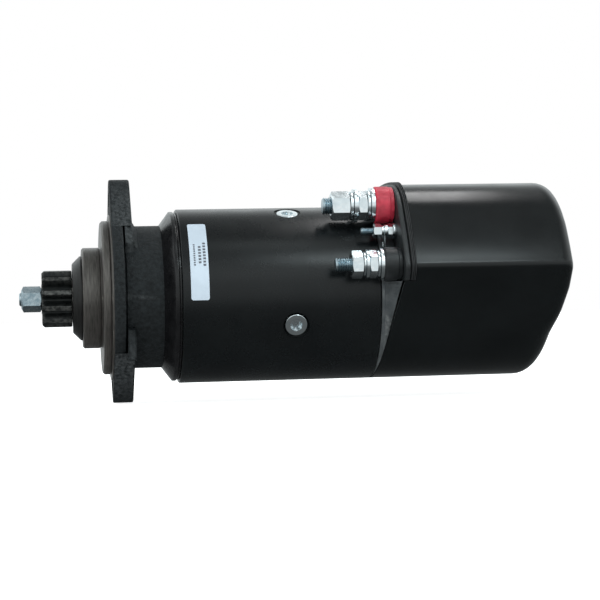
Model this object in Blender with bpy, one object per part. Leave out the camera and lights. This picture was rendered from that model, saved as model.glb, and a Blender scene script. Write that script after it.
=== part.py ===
"""Heavy-duty sliding-gear starter motor, modelled as its separate pieces.

The shaft axis is the world X axis and the pinion points to -X. The origin lies on that axis, in
the plane of the flange's machined mounting face. +Z is up, and -Y is the side of the terminals.
Dimensions below are in millimetres; MM turns them into Blender's metres.
"""
import math

import bmesh
import bpy
from mathutils import Matrix, Vector
from mathutils.geometry import tessellate_polygon

MM = 0.001
GAP = 0.3                       # clearance between touching pieces
SEG_LARGE = 36                  # facets round the housings
SEG_MID = 24
SEG_SMALL = 16

# Nose, pilot and flange of the drive end shield
NOSE_X, NOSE_R = -19.5, 36.0
PILOT_X, PILOT_R = -5.9, 55.0
NOSE_BORE_R = 20.0
LAND_R, LAND_RAISE = 60.0, 1.0
STEP = 0.4                      # small steps that keep cast faces out of one plane
PLATE_BACK_X = 8.9
EAR_BACK_X = 15.5
TOP_EAR_Z, TOP_EAR_R = 70.0, 14.5
LOW_EAR_Z, LOW_EAR_R = 63.0, 12.5
TOP_BLOCK_Z, LOW_BLOCK_Z = 50.0, 39.0
BOLT_HOLE_R = 5.5
NECK_R, NECK_END_X = 51.0, 36.3
RING_R, RING_X = 60.9, 43.4
CAVITY_R, CAVITY_X = 44.0, 14.0
SPIGOT_R, SPIGOT_BORE_R, SPIGOT_DEPTH = 56.2, 53.0, 5.7
BUSH_X, BUSH_SEAT_R = 9.0, 24.0
TIE_BOLT_R, TIE_HOLE_R = 50.0, 3.3      # pitch radius of the two tie bolts, and their holes

# Yoke with its poles
YOKE_X0, YOKE_X1 = 48.1, 187.2
YOKE_R, YOKE_BORE_R = 62.5, 56.6
POLE_TILT = 21.0                # first pole, in degrees from the top towards the terminals
POLE_COUNT = 4
POLE_SCREW_X = 127.0
POLE_X0, POLE_X1 = 96.0, 158.0
POLE_FACE_R, POLE_BACK_R = 39.4, 56.2
SCREW_SHANK_R, SCREW_HEAD_R = 4.6, 7.9
COIL_WIDTH = 9.0

# Armature and clutch
SHAFT_R, SHAFT_BORE_R = 13.0, 4.8
CORE_X0, CORE_X1, CORE_R = 92.0, 156.0, 38.4
CORE_SLOTS = 19
COMMUTATOR_X0, COMMUTATOR_X1, COMMUTATOR_R = 164.0, 178.2, 25.0
CLUTCH_X0, CLUTCH_X1, CLUTCH_R = 18.0, 50.0, 38.0
HUB_R, HUB_BORE_R = 22.0, 12.5

# Pinion and its spindle
PINION_X0, PINION_X1 = -48.0, -26.8
PINION_TEETH, PINION_MODULE = 11, 3.0
PINION_TIP_R, PINION_ROOT_R = 20.3, 14.2
SPINDLE_R, SPINDLE_STEP_X, SPINDLE_END_X = 15.0, 16.0, 44.0
THREAD_R, TIP_X = 5.0, -64.0
NUT_X0, NUT_FLATS = -62.5, 16.0
SEAL_X, SEAL_R0, SEAL_R1 = -26.3, 24.7, 30.2

# Rear cap: its cross-section is a rounded pentagon round the yoke's circle
CAP_TOP_Z, CAP_TOP_HALF, CAP_TOP_CORNER_R = 76.5, 55.5, 45.0
CREASE_Z, CREASE_HALF = 16.4, 91.7
CAP_BOTTOM_R = YOKE_R
CAP_END_X = 319.5
CAP_WALL = 2.2
BOARD_X0, BOARD_X1 = 199.0, 203.0
GASKET_X1 = 206.6
SHIELD_INSIDE_R, BEARING_SEAT_R = 54.0, 17.4
LIP_Z = 7.0                     # height at which the oblique lower front edge starts
REAR_BEND_Z, REAR_SLOPE = 0.0, 0.14
REAR_ROUND, TOP_ROUND, LOW_ROUND = 9.0, 15.0, 16.0

# Terminals: number, y, z, stud radius, nut width across flats, then stations along X
TERMINALS = {
    "30": dict(y=-44.4, z=61.2, stud=6.0, flats=18.0, tip=149.0, outer=(155.0, 167.9),
               inner=(173.8, 180.4), washer_r=11.8, insulator_r=13.3, insulator_x=185.5),
    "50": dict(y=-57.0, z=42.6, stud=2.5, flats=8.8, tip=173.9, outer=(182.6, 188.4),
               inner=(192.8, 196.4), washer_r=0.0, insulator_r=0.0, insulator_x=0.0),
    "31": dict(y=-72.5, z=19.1, stud=5.0, flats=17.0, tip=152.8, outer=(163.8, 171.7),
               inner=(176.0, 181.8), washer_r=10.3, insulator_r=11.7, insulator_x=186.1),
}
STUD_END_X = 212.0

# Solenoid on the shaft axis, and control relay above it
SOLENOID_X0, SOLENOID_X1, SOLENOID_R = 206.5, 286.0, 33.0
PLUNGER_X0, PLUNGER_X1, PLUNGER_R = 245.0, 279.0, 15.5
RELAY_X0, RELAY_X1, RELAY_R, RELAY_Z = 216.0, 262.0, 18.5, 53.5

LABEL_X0, LABEL_X1 = 53.7, 66.4
LABEL_FROM, LABEL_TO = -3.0, 53.0       # degrees above the horizontal, on the terminal side

FINISHES = {                    # base colour, metallic, roughness
    "black_paint": ((0.012, 0.014, 0.014), 0.0, 0.35),
    "cast_iron": ((0.035, 0.042, 0.045), 0.3, 0.75),
    "machined_steel": ((0.30, 0.28, 0.26), 0.9, 0.40),
    "dark_steel": ((0.05, 0.05, 0.048), 0.7, 0.50),
    "zinc": ((0.62, 0.65, 0.67), 1.0, 0.28),
    "grey_casting": ((0.09, 0.10, 0.105), 0.6, 0.50),
    "copper": ((0.55, 0.24, 0.12), 1.0, 0.35),
    "bronze": ((0.45, 0.33, 0.16), 1.0, 0.40),
    "carbon": ((0.03, 0.03, 0.03), 0.1, 0.70),
    "black_rubber": ((0.015, 0.015, 0.016), 0.0, 0.60),
    "black_plastic": ((0.02, 0.02, 0.022), 0.0, 0.45),
    "red_plastic": ((0.42, 0.02, 0.05), 0.0, 0.40),
    "paper": ((0.80, 0.82, 0.84), 0.0, 0.50),
}


# ---------------------------------------------------------------- building blocks

def clear_scene():
    for obj in list(bpy.data.objects):
        bpy.data.objects.remove(obj, do_unlink=True)


def finish_material(name, finish):
    colour, metallic, roughness = FINISHES[finish]
    material = bpy.data.materials.new(name)
    material.use_nodes = True
    shader = material.node_tree.nodes["Principled BSDF"]
    shader.inputs["Base Color"].default_value = (*colour, 1.0)
    shader.inputs["Metallic"].default_value = metallic
    shader.inputs["Roughness"].default_value = roughness
    return material


def mesh_from(bm, name):
    bmesh.ops.recalc_face_normals(bm, faces=bm.faces[:])
    if bm.calc_volume(signed=True) < 0:
        bmesh.ops.reverse_faces(bm, faces=bm.faces[:])
    mesh = bpy.data.meshes.new(name)
    bm.to_mesh(mesh)
    bm.free()
    mesh.shade_smooth()
    mesh.set_sharp_from_angle(angle=math.radians(28))
    return mesh


def add_object(name, mesh):
    obj = bpy.data.objects.new(name, mesh)
    bpy.context.scene.collection.objects.link(obj)
    return obj


def add_part(name, mesh, finish, parent=None):
    """A sub-part: a mesh object with its own material, placed in its parent's frame."""
    obj = add_object(name, mesh)
    obj.data.materials.clear()
    obj.data.materials.append(finish_material(name, finish))
    obj.parent = parent
    return obj


def add_axis(name, location=(0.0, 0.0, 0.0)):
    empty = bpy.data.objects.new(name, None)
    empty.location = Vector(location) * MM
    bpy.context.scene.collection.objects.link(empty)
    return empty


def hide_cutter(obj):
    obj.hide_render = True
    obj.display_type = "WIRE"


def boolean(target, tools, operation, solver):
    """Gives target one Boolean modifier for each tool mesh."""
    for index, tool in enumerate(tools):
        cutter = add_object(f"{target.name}_tool_{index}", tool)
        hide_cutter(cutter)
        cutter.matrix_world = target.matrix_world
        modifier = target.modifiers.new(f"{operation.lower()}_{index}", "BOOLEAN")
        modifier.operation = operation
        modifier.solver = solver
        modifier.object = cutter


def solid_after(name, mesh, add=(), cut=(), solver="EXACT"):
    """The mesh with the meshes of add joined to it and those of cut removed from it."""
    work = add_object(name + "_work", mesh)
    boolean(work, add, "UNION", solver)
    boolean(work, cut, "DIFFERENCE", solver)
    depsgraph = bpy.context.evaluated_depsgraph_get()
    result = bpy.data.meshes.new_from_object(work.evaluated_get(depsgraph))
    result.name = name
    for modifier in work.modifiers:
        bpy.data.objects.remove(modifier.object, do_unlink=True)
    bpy.data.objects.remove(work, do_unlink=True)
    result.shade_smooth()
    result.set_sharp_from_angle(angle=math.radians(28))
    return result


def placed(mesh, matrix):
    copy = mesh.copy()
    copy.transform(matrix)
    return copy


def about_axis(degrees):
    """Turns a piece that points up (+Z) towards the terminal side (-Y)."""
    return Matrix.Rotation(math.radians(degrees), 4, "X")


def offset(x=0.0, y=0.0, z=0.0):
    return Matrix.Translation(Vector((x, y, z)) * MM)


def turned(profile, segments=SEG_MID):
    """Revolves (x, radius) points about X: a solid if it starts at radius 0, else a ring."""
    bm = bmesh.new()
    rings = []
    for x, radius in profile:
        if radius == 0:
            rings.append([bm.verts.new((x * MM, 0.0, 0.0))])
            continue
        turns = [2 * math.pi * k / segments for k in range(segments)]
        rings.append([bm.verts.new((x * MM, radius * MM * math.cos(a), radius * MM * math.sin(a)))
                      for a in turns])
    pairs = list(zip(rings, rings[1:]))
    if profile[0][1] > 0:
        pairs.append((rings[-1], rings[0]))
    for first, second in pairs:
        for k in range(segments):
            corners = [first[k % len(first)], first[(k + 1) % len(first)],
                       second[(k + 1) % len(second)], second[k % len(second)]]
            bm.faces.new(list(dict.fromkeys(corners)))
    return mesh_from(bm, "turned")


def rod(x0, x1, radius, segments=SEG_SMALL):
    return turned([(x0, 0), (x0, radius), (x1, radius), (x1, 0)], segments)


def prism(outline, x0, x1):
    """Extrudes a (y, z) outline along X."""
    bm = bmesh.new()
    front = [bm.verts.new((x0 * MM, y * MM, z * MM)) for y, z in outline]
    back = [bm.verts.new((x1 * MM, y * MM, z * MM)) for y, z in outline]
    for triangle in tessellate_polygon([[Vector((y, z, 0.0)) for y, z in outline]]):
        bm.faces.new([front[k] for k in triangle])
        bm.faces.new([back[k] for k in reversed(triangle)])
    for k in range(len(outline)):
        following = (k + 1) % len(outline)
        bm.faces.new([front[k], front[following], back[following], back[k]])
    return mesh_from(bm, "prism")


def side_prism(outline, half_width):
    """Extrudes an (x, z) outline along Y, to both sides of the shaft axis."""
    mesh = prism([(x, z) for x, z in outline], -half_width, half_width)
    return placed(mesh, Matrix.Rotation(math.radians(-90), 4, "Z"))


def box(x0, x1, y0, y1, z0, z1):
    return prism([(y0, z0), (y1, z0), (y1, z1), (y0, z1)], x0, x1)


def arc(centre, radius, start, end, steps):
    """Points on a circle from start to end, in degrees, both ends included."""
    angles = [math.radians(start + (end - start) * k / steps) for k in range(steps + 1)]
    return [(centre[0] + radius * math.cos(a), centre[1] + radius * math.sin(a)) for a in angles]


def rounded(corners):
    """A closed outline through (point, radius, steps) corners, each rounded to its radius."""
    points = []
    for index, (corner, radius, steps) in enumerate(corners):
        here = Vector(corner)
        before = (Vector(corners[index - 1][0]) - here).normalized()
        after = (Vector(corners[(index + 1) % len(corners)][0]) - here).normalized()
        half = before.angle(after) / 2
        centre = here + (before + after).normalized() * (radius / math.sin(half))
        start = here + before * (radius / math.tan(half)) - centre
        end = here + after * (radius / math.tan(half)) - centre
        turn = start.angle_signed(end)
        points += [tuple(centre + Matrix.Rotation(-turn * k / steps, 2) @ start)
                   for k in range(steps + 1)]
    return points


def hexagon(flats, x0, x1, bore_r):
    """A nut along X with one corner up and one down, so that a flat faces each side."""
    body = prism(arc((0, 0), flats / math.sqrt(3), 30, 330, 5), x0, x1)
    return solid_after("nut", body, cut=[rod(x0 - 1, x1 + 1, bore_r)])


# ---------------------------------------------------------------- drive end

def tangent_angle(ear_z, ear_r):
    """Direction, above the horizontal, of the line that touches the land and an ear."""
    return math.degrees(math.asin((LAND_R - ear_r) / ear_z))


def flange_outline():
    """The two-bolt flange: a disc drawn out to an ear at the top and one at the bottom."""
    top = tangent_angle(TOP_EAR_Z, TOP_EAR_R)
    low = tangent_angle(LOW_EAR_Z, LOW_EAR_R)
    outline = arc((0, TOP_EAR_Z), TOP_EAR_R, top, 180 - top, 10)
    outline += arc((0, 0), LAND_R, 180 - top, 180 + low, 12)
    outline += arc((0, -LOW_EAR_Z), LOW_EAR_R, 180 + low, 360 - low, 10)
    outline += arc((0, 0), LAND_R, -low, top, 12)
    return outline


def ear_outline(ear_z, ear_r, root_z):
    """The thick outer part of an ear that points up, cut off level at root_z."""
    tilt = tangent_angle(ear_z, ear_r)
    tip = arc((0, ear_z), ear_r - STEP, tilt, 180 - tilt, 10)
    slope = math.tan(math.radians(tilt))
    root_half = tip[0][0] + (tip[0][1] - root_z) * slope
    return [(root_half, root_z)] + tip + [(-root_half, root_z)]


def bolt_angles():
    return (POLE_TILT + 45.0, POLE_TILT + 225.0)


def tie_bolt_holes(x0, x1):
    return [placed(rod(x0, x1, TIE_HOLE_R), about_axis(angle) @ offset(z=TIE_BOLT_R))
            for angle in bolt_angles()]


def drive_end_shield():
    rim_x = YOKE_X0 - GAP
    body = turned([
        (NOSE_X, NOSE_BORE_R), (NOSE_X, NOSE_R - 1), (NOSE_X + 1, NOSE_R),
        (PILOT_X, NOSE_R), (PILOT_X, PILOT_R - 1), (PILOT_X + 1, PILOT_R),
        (0, PILOT_R), (0, LAND_R - 2 * STEP), (PLATE_BACK_X - STEP, LAND_R - 2 * STEP),
        (PLATE_BACK_X - STEP, NECK_R - 2), (PLATE_BACK_X + 1.6, NECK_R - 2),
        (PLATE_BACK_X + 1.6, NECK_R), (NECK_END_X, NECK_R), (RING_X, RING_R), (rim_x, RING_R),
        (rim_x, SPIGOT_R), (rim_x + SPIGOT_DEPTH, SPIGOT_R), (rim_x + SPIGOT_DEPTH, SPIGOT_BORE_R),
        (rim_x - 2, SPIGOT_BORE_R), (rim_x - 2, CAVITY_R), (CAVITY_X, CAVITY_R),
        (CAVITY_X, BUSH_SEAT_R), (BUSH_X, BUSH_SEAT_R), (BUSH_X, NOSE_BORE_R),
    ], SEG_LARGE)
    flange = solid_after("flange", prism(flange_outline(), LAND_RAISE, PLATE_BACK_X),
                         cut=[rod(0, PLATE_BACK_X + 1, BUSH_SEAT_R + 6)], solver="MANIFOLD")
    block_x = PLATE_BACK_X - 3
    top_block = prism(ear_outline(TOP_EAR_Z, TOP_EAR_R, TOP_BLOCK_Z), block_x, EAR_BACK_X)
    low_block = placed(prism(ear_outline(LOW_EAR_Z, LOW_EAR_R, LOW_BLOCK_Z),
                             block_x, EAR_BACK_X), about_axis(180))
    rib = box(block_x, EAR_BACK_X - 2, -54.0, -40.0, -LOW_BLOCK_Z - 3, -22.0)
    holes = [placed(rod(-2, EAR_BACK_X + 2, BOLT_HOLE_R), offset(z=z))
             for z in (TOP_EAR_Z, -LOW_EAR_Z - 1.5)]
    mesh = solid_after("drive_end_shield", body, add=[flange, top_block, low_block, rib],
                       cut=holes + tie_bolt_holes(38.0, 60.0), solver="MANIFOLD")
    add_part("drive_end_shield", mesh, "cast_iron")

    seal_back = NOSE_X - GAP
    seal = turned([(SEAL_X, 21.2), (SEAL_X, SEAL_R0), (seal_back - 0.8, SEAL_R1),
                   (seal_back, SEAL_R1), (seal_back, NOSE_BORE_R - GAP),
                   (-15.2, NOSE_BORE_R - GAP), (-15.2, 15.8), (-24.0, 15.8), (-24.0, 21.2)])
    add_part("nose_seal_cover", seal, "dark_steel")
    bush = turned([(-14.8, 15.5), (-14.8, 19.6), (8.5, 19.6), (8.5, 15.5)])
    add_part("drive_bearing", bush, "bronze")


def gear_outline():
    """Eleven teeth with flanks that lean in towards a rounded tip."""
    pitch_r = PINION_TEETH * PINION_MODULE / 2
    flank = [(PINION_ROOT_R, 0.43), (pitch_r - 1.2, 0.29), (pitch_r + 0.6, 0.25),
             (PINION_TIP_R - 0.5, 0.155), (PINION_TIP_R, 0.125)]
    step = 2 * math.pi / PINION_TEETH
    outline = []
    for tooth in range(PINION_TEETH):
        middle = tooth * step
        sides = [(r, middle - share * step) for r, share in flank]
        sides += [(r, middle + share * step) for r, share in reversed(flank)]
        outline += [(r * math.cos(a), r * math.sin(a)) for r, a in sides]
    return outline


def pinion_group(drive_axis):
    gear = solid_after("pinion", prism(gear_outline(), PINION_X0, PINION_X1),
                       cut=[rod(PINION_X0 - 1, PINION_X1 + 1, 9.3)])
    add_part("pinion", gear, "dark_steel", drive_axis)
    nut = hexagon(NUT_FLATS, NUT_X0, PINION_X0 - GAP, THREAD_R + GAP)
    add_part("pinion_nut", nut, "zinc", drive_axis)
    neck_r = 9.0
    spindle = turned([
        (TIP_X, 0), (TIP_X, THREAD_R - 1.5), (TIP_X + 1.5, THREAD_R), (PINION_X0, THREAD_R),
        (PINION_X0, neck_r), (PINION_X1 + GAP, neck_r), (PINION_X1 + GAP, SPINDLE_R),
        (SPINDLE_STEP_X, SPINDLE_R), (SPINDLE_STEP_X, HUB_BORE_R - 0.5),
        (SPINDLE_END_X, HUB_BORE_R - 0.5), (SPINDLE_END_X, 0)])
    add_part("drive_spindle", spindle, "machined_steel", drive_axis)


def clutch_group(armature_axis, hub_axis):
    hub = turned([(CLUTCH_X0 + 0.5, HUB_BORE_R), (CLUTCH_X0 + 0.5, HUB_R),
                  (CLUTCH_X1 - 6.5, HUB_R), (CLUTCH_X1 - 6.5, HUB_BORE_R)])
    add_part("clutch_hub", hub, "machined_steel", hub_axis)
    wall_x = CLUTCH_X1 - 5.5
    housing = turned([(CLUTCH_X0, 33.5), (CLUTCH_X0, CLUTCH_R), (CLUTCH_X1, CLUTCH_R),
                      (CLUTCH_X1, 10.4), (wall_x + 0.5, 10.4), (wall_x + 0.5, 33.5)], SEG_LARGE)
    add_part("clutch_housing", housing, "machined_steel", armature_axis)
    plate_x = (CLUTCH_X0 + CLUTCH_X1) / 2
    plate = turned([(plate_x, 22.8), (plate_x, 32.8), (plate_x + 3, 32.8), (plate_x + 3, 22.8)])
    add_part("clutch_plate", plate, "dark_steel", armature_axis)


# ---------------------------------------------------------------- yoke, poles and coils

def pole_screw_cutter(slack):
    """Countersunk screw along +Z, larger than the screw by slack."""
    shank = SCREW_SHANK_R + slack
    head = SCREW_HEAD_R + slack
    seat = 57.3 - slack
    profile = [(44.0 - slack, 0), (44.0 - slack, shank), (seat, shank), (seat + 3.4, head),
               (66.0, head), (66.0, 0)]
    upright = Matrix.Rotation(math.radians(-90), 4, "Y")
    return placed(turned(profile, SEG_SMALL), offset(x=POLE_SCREW_X) @ upright)


def pole_screw():
    profile = [(44.5, 0), (44.5, SCREW_SHANK_R), (57.3, SCREW_SHANK_R), (60.7, SCREW_HEAD_R),
               (61.5, SCREW_HEAD_R), (61.5, 0)]
    upright = offset(x=POLE_SCREW_X) @ Matrix.Rotation(math.radians(-90), 4, "Y")
    socket = prism(arc((0, 0), 4.2, 0, 300, 5), 57.6, 63.0)
    return solid_after("pole_screw", placed(turned(profile, SEG_SMALL), upright),
                       cut=[placed(socket, upright)])


def pole_shoe():
    """A T-shaped pole: a broad back against the yoke and wider tips beside the armature."""
    back, tip = 20.0, 33.0
    up = 90.0
    outline = arc((0, 0), POLE_FACE_R, up - tip, up + tip, 10)
    outline += arc((0, 0), POLE_FACE_R + 3.5, up + tip, up + back, 3)
    outline += arc((0, 0), POLE_BACK_R, up + back - 2, up - back + 2, 8)
    outline += arc((0, 0), POLE_FACE_R + 3.5, up - back, up - tip, 3)
    return solid_after("pole_shoe", prism(outline, POLE_X0, POLE_X1),
                       cut=[pole_screw_cutter(GAP)])


def across(loop, parts):
    """Splits a loop's straight runs along its second coordinate, so that they can be bent."""
    points = []
    for here, following in zip(loop, loop[1:] + loop[:1]):
        points.append(here)
        if abs(here[1] - following[1]) > 10.0:
            points += [tuple(Vector(here).lerp(Vector(following), k / parts))
                       for k in range(1, parts)]
    return points


def field_coil():
    """A winding bent round the pole: a rounded rectangle laid on the bore of the yoke."""
    inner_r, outer_r = POLE_FACE_R + 4.2, YOKE_BORE_R - 0.8
    path_r = (inner_r + outer_r) / 2
    half_x = (POLE_X1 - POLE_X0) / 2 + 0.6
    half_y = math.radians(21.5) * path_r
    middle_x = (POLE_X0 + POLE_X1) / 2

    def loop(width):
        x, y, r = half_x + width, half_y + width, 1.5 + width
        corners = [(x, y), (-x, y), (-x, -y), (x, -y)]
        turn = rounded([(corner, r, 3) for corner in corners])
        return across(turn, 4)

    def point(x, y, radius):
        angle = y / path_r
        return ((middle_x + x) * MM, radius * MM * math.sin(angle), radius * MM * math.cos(angle))

    bm = bmesh.new()
    hole, rim = loop(0.0), loop(COIL_WIDTH)
    section = [[bm.verts.new(point(x, y, radius)) for x, y in outline]
               for outline, radius in ((hole, inner_r), (rim, inner_r), (rim, outer_r),
                                       (hole, outer_r))]
    count = len(hole)
    for first, second in zip(section, section[1:] + section[:1]):
        for k in range(count):
            bm.faces.new([first[k], first[(k + 1) % count],
                          second[(k + 1) % count], second[k]])
    return mesh_from(bm, "field_coil")


def yoke_group():
    turns = [about_axis(POLE_TILT + 360.0 / POLE_COUNT * k) for k in range(POLE_COUNT)]
    tube = turned([(YOKE_X0, YOKE_BORE_R), (YOKE_X0, YOKE_R), (YOKE_X1, YOKE_R),
                   (YOKE_X1, YOKE_BORE_R)], SEG_LARGE)
    holes = [placed(pole_screw_cutter(1.3), turn) for turn in turns]
    add_part("yoke", solid_after("yoke", tube, cut=holes), "black_paint")
    pieces = {"pole_shoe": (pole_shoe(), "dark_steel"), "field_coil": (field_coil(), "copper"),
              "pole_screw": (pole_screw(), "zinc")}
    for label, (mesh, finish) in pieces.items():
        for number, turn in enumerate(turns, start=1):
            part = add_part(f"{label}_{number}", mesh.copy(), finish)
            part.matrix_world = turn
    label_r = YOKE_R + GAP
    sweep = (180 - LABEL_TO, 180 - LABEL_FROM)
    outline = arc((0, 0), label_r, *sweep, 12)
    outline += arc((0, 0), label_r + 0.3, sweep[1], sweep[0], 12)
    add_part("rating_label", prism(outline, LABEL_X0, LABEL_X1), "paper")


# ---------------------------------------------------------------- armature

def slotted_outline(radius, slot_depth, slot_share):
    """A disc with open slots, as the armature's laminations have."""
    step = 360.0 / CORE_SLOTS
    outline = []
    for slot in range(CORE_SLOTS):
        start = slot * step
        tooth_end = start + step * (1 - slot_share)
        outline += arc((0, 0), radius, start, tooth_end, 2)
        outline += arc((0, 0), radius - slot_depth, tooth_end, start + step, 1)
    return outline


def armature_group(axis):
    shaft_end = 199.3
    shaft = turned([(CLUTCH_X1 - 4.6, SHAFT_BORE_R), (CLUTCH_X1 - 4.6, 10.0),
                    (CLUTCH_X1 + 0.4, 10.0), (CLUTCH_X1 + 0.4, SHAFT_R), (shaft_end, SHAFT_R),
                    (shaft_end, SHAFT_BORE_R)])
    add_part("armature_shaft", shaft, "machined_steel", axis)
    bore = rod(CORE_X0 - 1, CORE_X1 + 1, SHAFT_R + GAP, SEG_MID)
    core = solid_after("armature_core", prism(slotted_outline(CORE_R, 9.0, 0.42),
                                              CORE_X0, CORE_X1), cut=[bore])
    add_part("armature_core", core, "dark_steel", axis)
    bar = box(CORE_X0 - 6, CORE_X1 + 3, -1.9, 1.9, 30.6, 35.6)
    slot_middle = (1 - 0.42 / 2) * 360.0 / CORE_SLOTS
    bars = [placed(bar, about_axis(slot_middle - 90 + 360.0 / CORE_SLOTS * k))
            for k in range(CORE_SLOTS)]
    front = turned([(70.0, 14.0), (72.0, 30.0), (84.0, 36.5), (CORE_X0 - GAP, 36.5),
                    (CORE_X0 - GAP, 14.0)], SEG_MID)
    back = turned([(CORE_X1 + GAP, 14.0), (CORE_X1 + GAP, 36.0), (CORE_X1 + 5, 34.0),
                   (COMMUTATOR_X0 - GAP, 28.0), (COMMUTATOR_X0 - GAP, 14.0)], SEG_MID)
    winding = solid_after("armature_winding", front, add=bars + [back])
    add_part("armature_winding", winding, "copper", axis)
    ring = turned([(COMMUTATOR_X0, SHAFT_R + GAP), (COMMUTATOR_X0, COMMUTATOR_R),
                   (COMMUTATOR_X1, COMMUTATOR_R), (COMMUTATOR_X1, SHAFT_R + GAP)])
    add_part("commutator", ring, "copper", axis)
    plate = turned([(54.5, SHAFT_R + 0.7), (54.5, 22.0), (58.0, 22.0), (58.0, YOKE_BORE_R - 0.6),
                    (61.5, YOKE_BORE_R - 0.6), (61.5, 20.0), (66.0, 20.0), (66.0, SHAFT_R + 0.7)],
                   SEG_LARGE)
    plate = solid_after("intermediate_bearing", plate, cut=tie_bolt_holes(56.0, 64.0))
    add_part("intermediate_bearing", plate, "grey_casting")


def brush_group():
    plate = turned([(179.0, 18.0), (179.0, 55.6), (181.8, 55.6), (181.8, 18.0)], SEG_LARGE)
    wall = [box(166.5, 180.0, side * 8.2 - 0.8, side * 8.2 + 0.8, 29.0, 47.0) for side in (-1, 1)]
    turns = [about_axis(POLE_TILT + 45 + 90 * k) for k in range(POLE_COUNT)]
    walls = [placed(mesh, turn) for turn in turns for mesh in wall]
    holder = solid_after("brush_holder", plate, add=walls, cut=tie_bolt_holes(176.0, 185.0))
    add_part("brush_holder", holder, "machined_steel")
    brush = box(167.0, 177.5, -7.0, 7.0, COMMUTATOR_R + 0.6, 44.0)
    for number, turn in enumerate(turns, start=1):
        part = add_part(f"brush_{number}", brush.copy(), "carbon")
        part.matrix_world = turn


# ---------------------------------------------------------------- commutator end and rear cap

def crease_to_bottom_angle():
    """Direction of the cap's lower sides, which touch the bottom arc."""
    reach = math.hypot(CREASE_HALF, CREASE_Z)
    return math.acos(CAP_BOTTOM_R / reach) - math.atan2(CREASE_Z, CREASE_HALF)


def cap_outline(grow=0.0, steps=(6, 4, 14)):
    """The cap's cross-section, moved outwards by grow."""
    corner_steps, crease_steps, bottom_steps = steps
    lower = crease_to_bottom_angle()
    apex_z = -CAP_BOTTOM_R / math.sin(lower)
    corners = rounded([((CREASE_HALF, CREASE_Z), 6.0, crease_steps),
                       ((CAP_TOP_HALF, CAP_TOP_Z), CAP_TOP_CORNER_R, corner_steps),
                       ((-CAP_TOP_HALF, CAP_TOP_Z), CAP_TOP_CORNER_R, corner_steps),
                       ((-CREASE_HALF, CREASE_Z), 6.0, crease_steps),
                       ((0.0, apex_z), CAP_BOTTOM_R, bottom_steps)])
    return grown(corners, grow)


def outline_normals(outline):
    normals = []
    for index, point in enumerate(outline):
        before = Vector(outline[index - 1])
        after = Vector(outline[(index + 1) % len(outline)])
        along = (after - before).normalized()
        normals.append(Vector((along.y, -along.x)))
    return normals


def grown(outline, distance):
    """The outline moved along its outward normals."""
    return [tuple(Vector(point) + normal * distance)
            for point, normal in zip(outline, outline_normals(outline))]


def rear_x(z, back):
    """The cap's rear face: upright above the bend and leaning forwards below it."""
    return back - max(0.0, REAR_BEND_Z - z) * REAR_SLOPE


def eased_step(value, start, end):
    """Rises smoothly from 0 at start to 1 at end."""
    share = min(max((value - start) / (end - start), 0.0), 1.0)
    return share * share * (3 - 2 * share)


def rear_round(z):
    """Radius of the rear edge: it grows towards the top and towards the bottom."""
    top = (TOP_ROUND - REAR_ROUND) * eased_step(z, 45.0, 75.0)
    low = (LOW_ROUND - REAR_ROUND) * eased_step(-z, 15.0, 40.0)
    return REAR_ROUND + top + low


def cap_loops(outline, front, back, inset):
    """Loops of points from the cap's front to the middle of its rear face."""
    loops = [[(front, y, z) for y, z in outline]]
    for degrees in (0, 25, 50, 72, 90):
        angle = math.radians(degrees)
        loop = []
        for y, z in outline:
            radius = rear_round(z) - inset
            shrink = 1 - radius * (1 - math.cos(angle)) / math.hypot(y, z)
            loop.append((rear_x(z, back) - radius * (1 - math.sin(angle)), y * shrink,
                         z * shrink))
        loops.append(loop)
    edge = loops[-1]
    for share in (0.66, 0.33):
        loops.append([(rear_x(z * share + REAR_BEND_Z * (1 - share), back), y * share,
                       z * share + REAR_BEND_Z * (1 - share)) for x, y, z in edge])
    return loops


def cap_shell():
    bm = bmesh.new()

    def skin(grow, back, inset):
        rings = [[bm.verts.new((x * MM, y * MM, z * MM)) for x, y, z in loop]
                 for loop in cap_loops(cap_outline(grow), 180.0, back, inset)]
        count = len(rings[0])
        for first, second in zip(rings, rings[1:]):
            for k in range(count):
                bm.faces.new([first[k], first[(k + 1) % count],
                              second[(k + 1) % count], second[k]])
        centre = bm.verts.new((rear_x(REAR_BEND_Z, back) * MM, 0.0, REAR_BEND_Z * MM))
        last = rings[-1]
        for k in range(count):
            bm.faces.new([last[k], last[(k + 1) % count], centre])
        return rings[0]

    outer = skin(0.0, CAP_END_X, 0.0)
    inner = skin(-CAP_WALL, CAP_END_X - CAP_WALL, CAP_WALL)
    count = len(outer)
    for k in range(count):
        bm.faces.new([outer[k], outer[(k + 1) % count], inner[(k + 1) % count], inner[k]])
    return mesh_from(bm, "rear_cap")


def lower_edge_x(z):
    """Front edge of the cap below the lip: it runs forwards to the yoke at the bottom."""
    return YOKE_X1 + GAP + (BOARD_X0 - YOKE_X1) * (z + YOKE_R) / (LIP_Z + YOKE_R)


def front_cutter():
    """All that lies in front of the cap."""
    low_z = -YOKE_R - 10
    outline = [(150.0, low_z), (lower_edge_x(low_z), low_z), (lower_edge_x(LIP_Z), LIP_Z),
               (GASKET_X1 + GAP, LIP_Z), (GASKET_X1 + GAP, 100.0), (150.0, 100.0)]
    return side_prism(outline, 120.0)


def space_behind_edge():
    """The lower part of the cap's space, which the castings in front of it keep out of."""
    low_z = -YOKE_R - 10
    return side_prism([(lower_edge_x(low_z) - GAP, low_z), (260.0, low_z), (260.0, LIP_Z),
                       (lower_edge_x(LIP_Z) - GAP, LIP_Z)], 120.0)


def shield_inside(segments):
    return turned([(YOKE_X1 - 5, 0), (YOKE_X1 - 5, SHIELD_INSIDE_R), (270.0, SHIELD_INSIDE_R),
                   (270.0, 0)], segments)


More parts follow.
